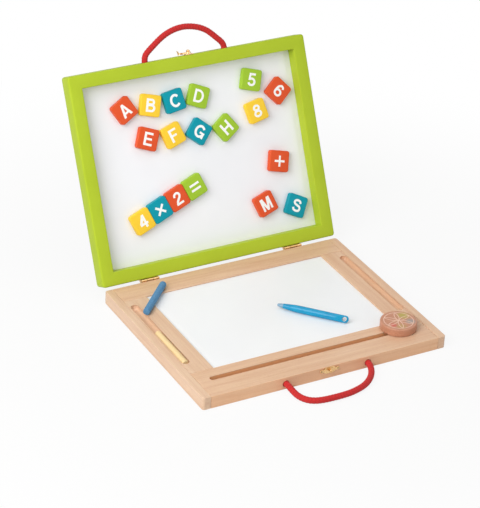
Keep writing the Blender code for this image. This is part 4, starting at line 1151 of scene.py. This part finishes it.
def finger_tab(low):
    """Small leaf that rises from the hook's end and leans away from the pivot."""
    loops = []
    foot = -HOOK_LENGTH - HOOK_RING_RADIUS + HOOK_TAB_THICK
    for share in [k / 12 for k in range(13)]:
        rounding = max(share - HOOK_TAB_ROUND_FROM, 0) / HOOK_TAB_ROUND_LENGTH
        width = HOOK_TAB_WIDTH * math.sqrt(max(1 - rounding ** 2, 0.02))
        thick = HOOK_TAB_THICK * (1 - HOOK_TAB_THINNING * share)
        edge = thick * HOOK_TAB_EDGE_SHARE
        outline = rounded_rectangle(-thick / 2, -width / 2, thick / 2, width / 2, edge, 4)
        across = foot - HOOK_TAB_LEAN * share * share
        loops.append([(across + x, y, low + HOOK_TAB_RISE * share) for x, y in outline])
    return loft(loops)


def latch(metal, nail_shade_metal):
    """On the lid's free edge: a plate, the hook that swings on it, and its rivet's round knob."""
    middle = lid_point(LATCH_X, BASE_DEPTH, LATCH_DEPTH)
    place = LID_MATRIX @ Matrix.Translation(middle) @ turn(-90, "X")
    low = LATCH_GAP + LATCH_PLATE_THICK
    width, tall = LATCH_PLATE_SIZE
    outline = rounded_rectangle(-width / 2, -tall / 2, width / 2, tall / 2, LATCH_PLATE_CORNER)
    back = plate(outline, LATCH_GAP, low)
    metal_piece("latch_back_plate", back, metal, place, "lid", "latch_plate")
    under = low + 2 * LATCH_GAP
    over = under + HOOK_THICK
    bore = lathe([(under - CUT_OVERRUN, HOOK_BORE_RADIUS), (over + CUT_OVERRUN, HOOK_BORE_RADIUS)])
    arm = plate(hook_outline(), under, over)
    metal_piece("latch_hook_arm", arm, metal, place, "hook", "latch_hook", bore=bore)
    metal_piece("latch_hook_tab", finger_tab(over - HOOK_TAB_SUNK), metal, place, "hook", bevel=0)
    head = over + LATCH_GAP
    knob = [(low - LATCH_GAP, RIVET_RADIUS), (head, RIVET_RADIUS),
            (head, RIVET_KNOB_RADIUS * RIVET_KNOB_UNDER_SHARE)]
    knob += dome(head + RIVET_KNOB_FOOT, RIVET_KNOB_RADIUS, RIVET_KNOB_RISE)
    metal_piece("latch_knob", lathe(knob), metal, place, "lid", "latch_rivet", bevel=0)
    nails("latch_nail", width * LATCH_NAIL_SHARE, low, nail_shade_metal, place, "lid")


def nails(name, reach, low, material, place, body):
    """Two round heads on a plate's face, this far to each side of its middle."""
    for k, x in enumerate((-reach, reach)):
        head = [(low - LATCH_GAP, NAIL_RADIUS * NAIL_UNDER_SHARE), (low, NAIL_RADIUS)]
        head += dome(low + NAIL_EDGE, NAIL_RADIUS, NAIL_RISE)
        spot = place @ Matrix.Translation((x, 0, 0))
        metal_piece(f"{name}_{k + 1}", lathe(head, 24), material, spot, body, bevel=0)


def catch(metal, nail_shade_metal):
    """Lobed plate with a raised middle, nailed at both ends, and the stud that takes the hook."""
    stud_z = BASE_HEIGHT + CLOSED_GAP + LATCH_DEPTH - HOOK_LENGTH
    place = Matrix.Translation((LATCH_X, -HALF_DEPTH, stud_z)) @ turn(90, "X")
    quarter = [Vector((x * CATCH_WIDTH / 2, y * CATCH_HEIGHT / 2)) for x, y in CATCH_SHARES]
    upper = quarter + [Vector((-p.x, p.y)) for p in reversed(quarter)]
    lower = [Vector((p.x, -p.y)) for p in reversed(upper[1:-1])]
    outline = catmull(upper + lower, 5, closed=True)
    face = LATCH_GAP + CATCH_THICK
    metal_piece("catch_plate", plate(outline, LATCH_GAP, face), metal, place, "base", "latch_catch")
    across, up = CATCH_BOSS_SHARES
    middle = [(p.x * across, p.y * up) for p in outline]
    boss = plate(middle, face - LATCH_GAP, face + CATCH_BOSS_RISE)
    metal_piece("catch_boss", boss, metal, place, "base")
    head = LATCH_PLATE_THICK + HOOK_THICK + 5 * LATCH_GAP
    stud = [(face - LATCH_GAP, STUD_RADIUS), (head, STUD_RADIUS), (head, STUD_HEAD_RADIUS)]
    rim = STUD_HEAD_THICK * STUD_RIM_SHARE
    stud += dome(head + rim, STUD_HEAD_RADIUS, STUD_HEAD_THICK - rim)
    metal_piece("catch_stud", lathe(stud), metal, place, "base", bevel=0)
    nails("catch_nail", CATCH_WIDTH * CATCH_NAIL_SHARE, face, nail_shade_metal, place, "base")


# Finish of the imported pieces
def finish_nodes():
    finishes = {
        "base_left_rail": beech("beech_left_rail", "y", 1, -0.1),
        "base_right_rail": beech("beech_right_rail", "y", 2, 0.12),
        "base_front_board": beech("beech_front", "x", 3, 0.1, slot_light_and_front_shade),
        "base_rear_board": beech("beech_rear", "x", 4, 0.13),
        "base_left_board": beech("beech_left", "y", 5, -0.08, trough_painted_shade_share),
        "base_right_board": beech("beech_right", "y", 6, 0.15, trough_painted_shade_share),
        "base_bottom_panel": beech("beech_bottom", "x", 7, 0.3),
        "drawing_screen": drawing_sheet(),
        "whiteboard_panel": whiteboard(),
        "chalkboard_panel": chalkboard(),
        "slider_knob": knob_wood(),
        "slider_spindle": plastic("white_plastic", (214, 214, 212), (232, 232, 230)),
        "eraser_magnet": plastic("magnet_dark", (38, 36, 36), (56, 54, 52), 0.7),
    }
    finishes["eraser_bar"] = finishes["slider_spindle"]
    metal = brass("brass_plate")
    for side in ("left", "right"):
        for piece in ("base_leaf", "lid_leaf", "pin"):
            finishes[f"{side}_hinge_{piece}"] = metal
    for name, material in finishes.items():
        for place in NODES[name].material_slots:
            place.material = material


def main():
    camera()
    ropes(rope_yarn())
    studio()
    finish_nodes()
    lid_frame(paint("lid_green", (178, 199, 48), 0.42, 0.02, 0.00005, grain=True, gloss=0.12))
    tiles()
    knob_print(paint("knob_line", (240, 200, 176), 0.4, 0.02, 0.00001))
    chalk_sticks({"blue": chalk("blue_chalk", (66, 118, 162), (104, 156, 194)),
                  "yellow": chalk("yellow_chalk", (231, 200, 145), (246, 220, 170))})
    stylus(stylus_plastic(), plastic("stylus_tip", (112, 150, 176), (150, 184, 204), 0.3))
    fittings = brass("brass_fitting")
    # Nail heads in a dark brown, which also paints the shade round sunk nail heads
    nail_shade_metal = plastic("nail_heads_painted_shade", (96, 66, 40), (128, 92, 58), 0.35)
    latch(fittings, nail_shade_metal)
    catch(fittings, nail_shade_metal)


main()
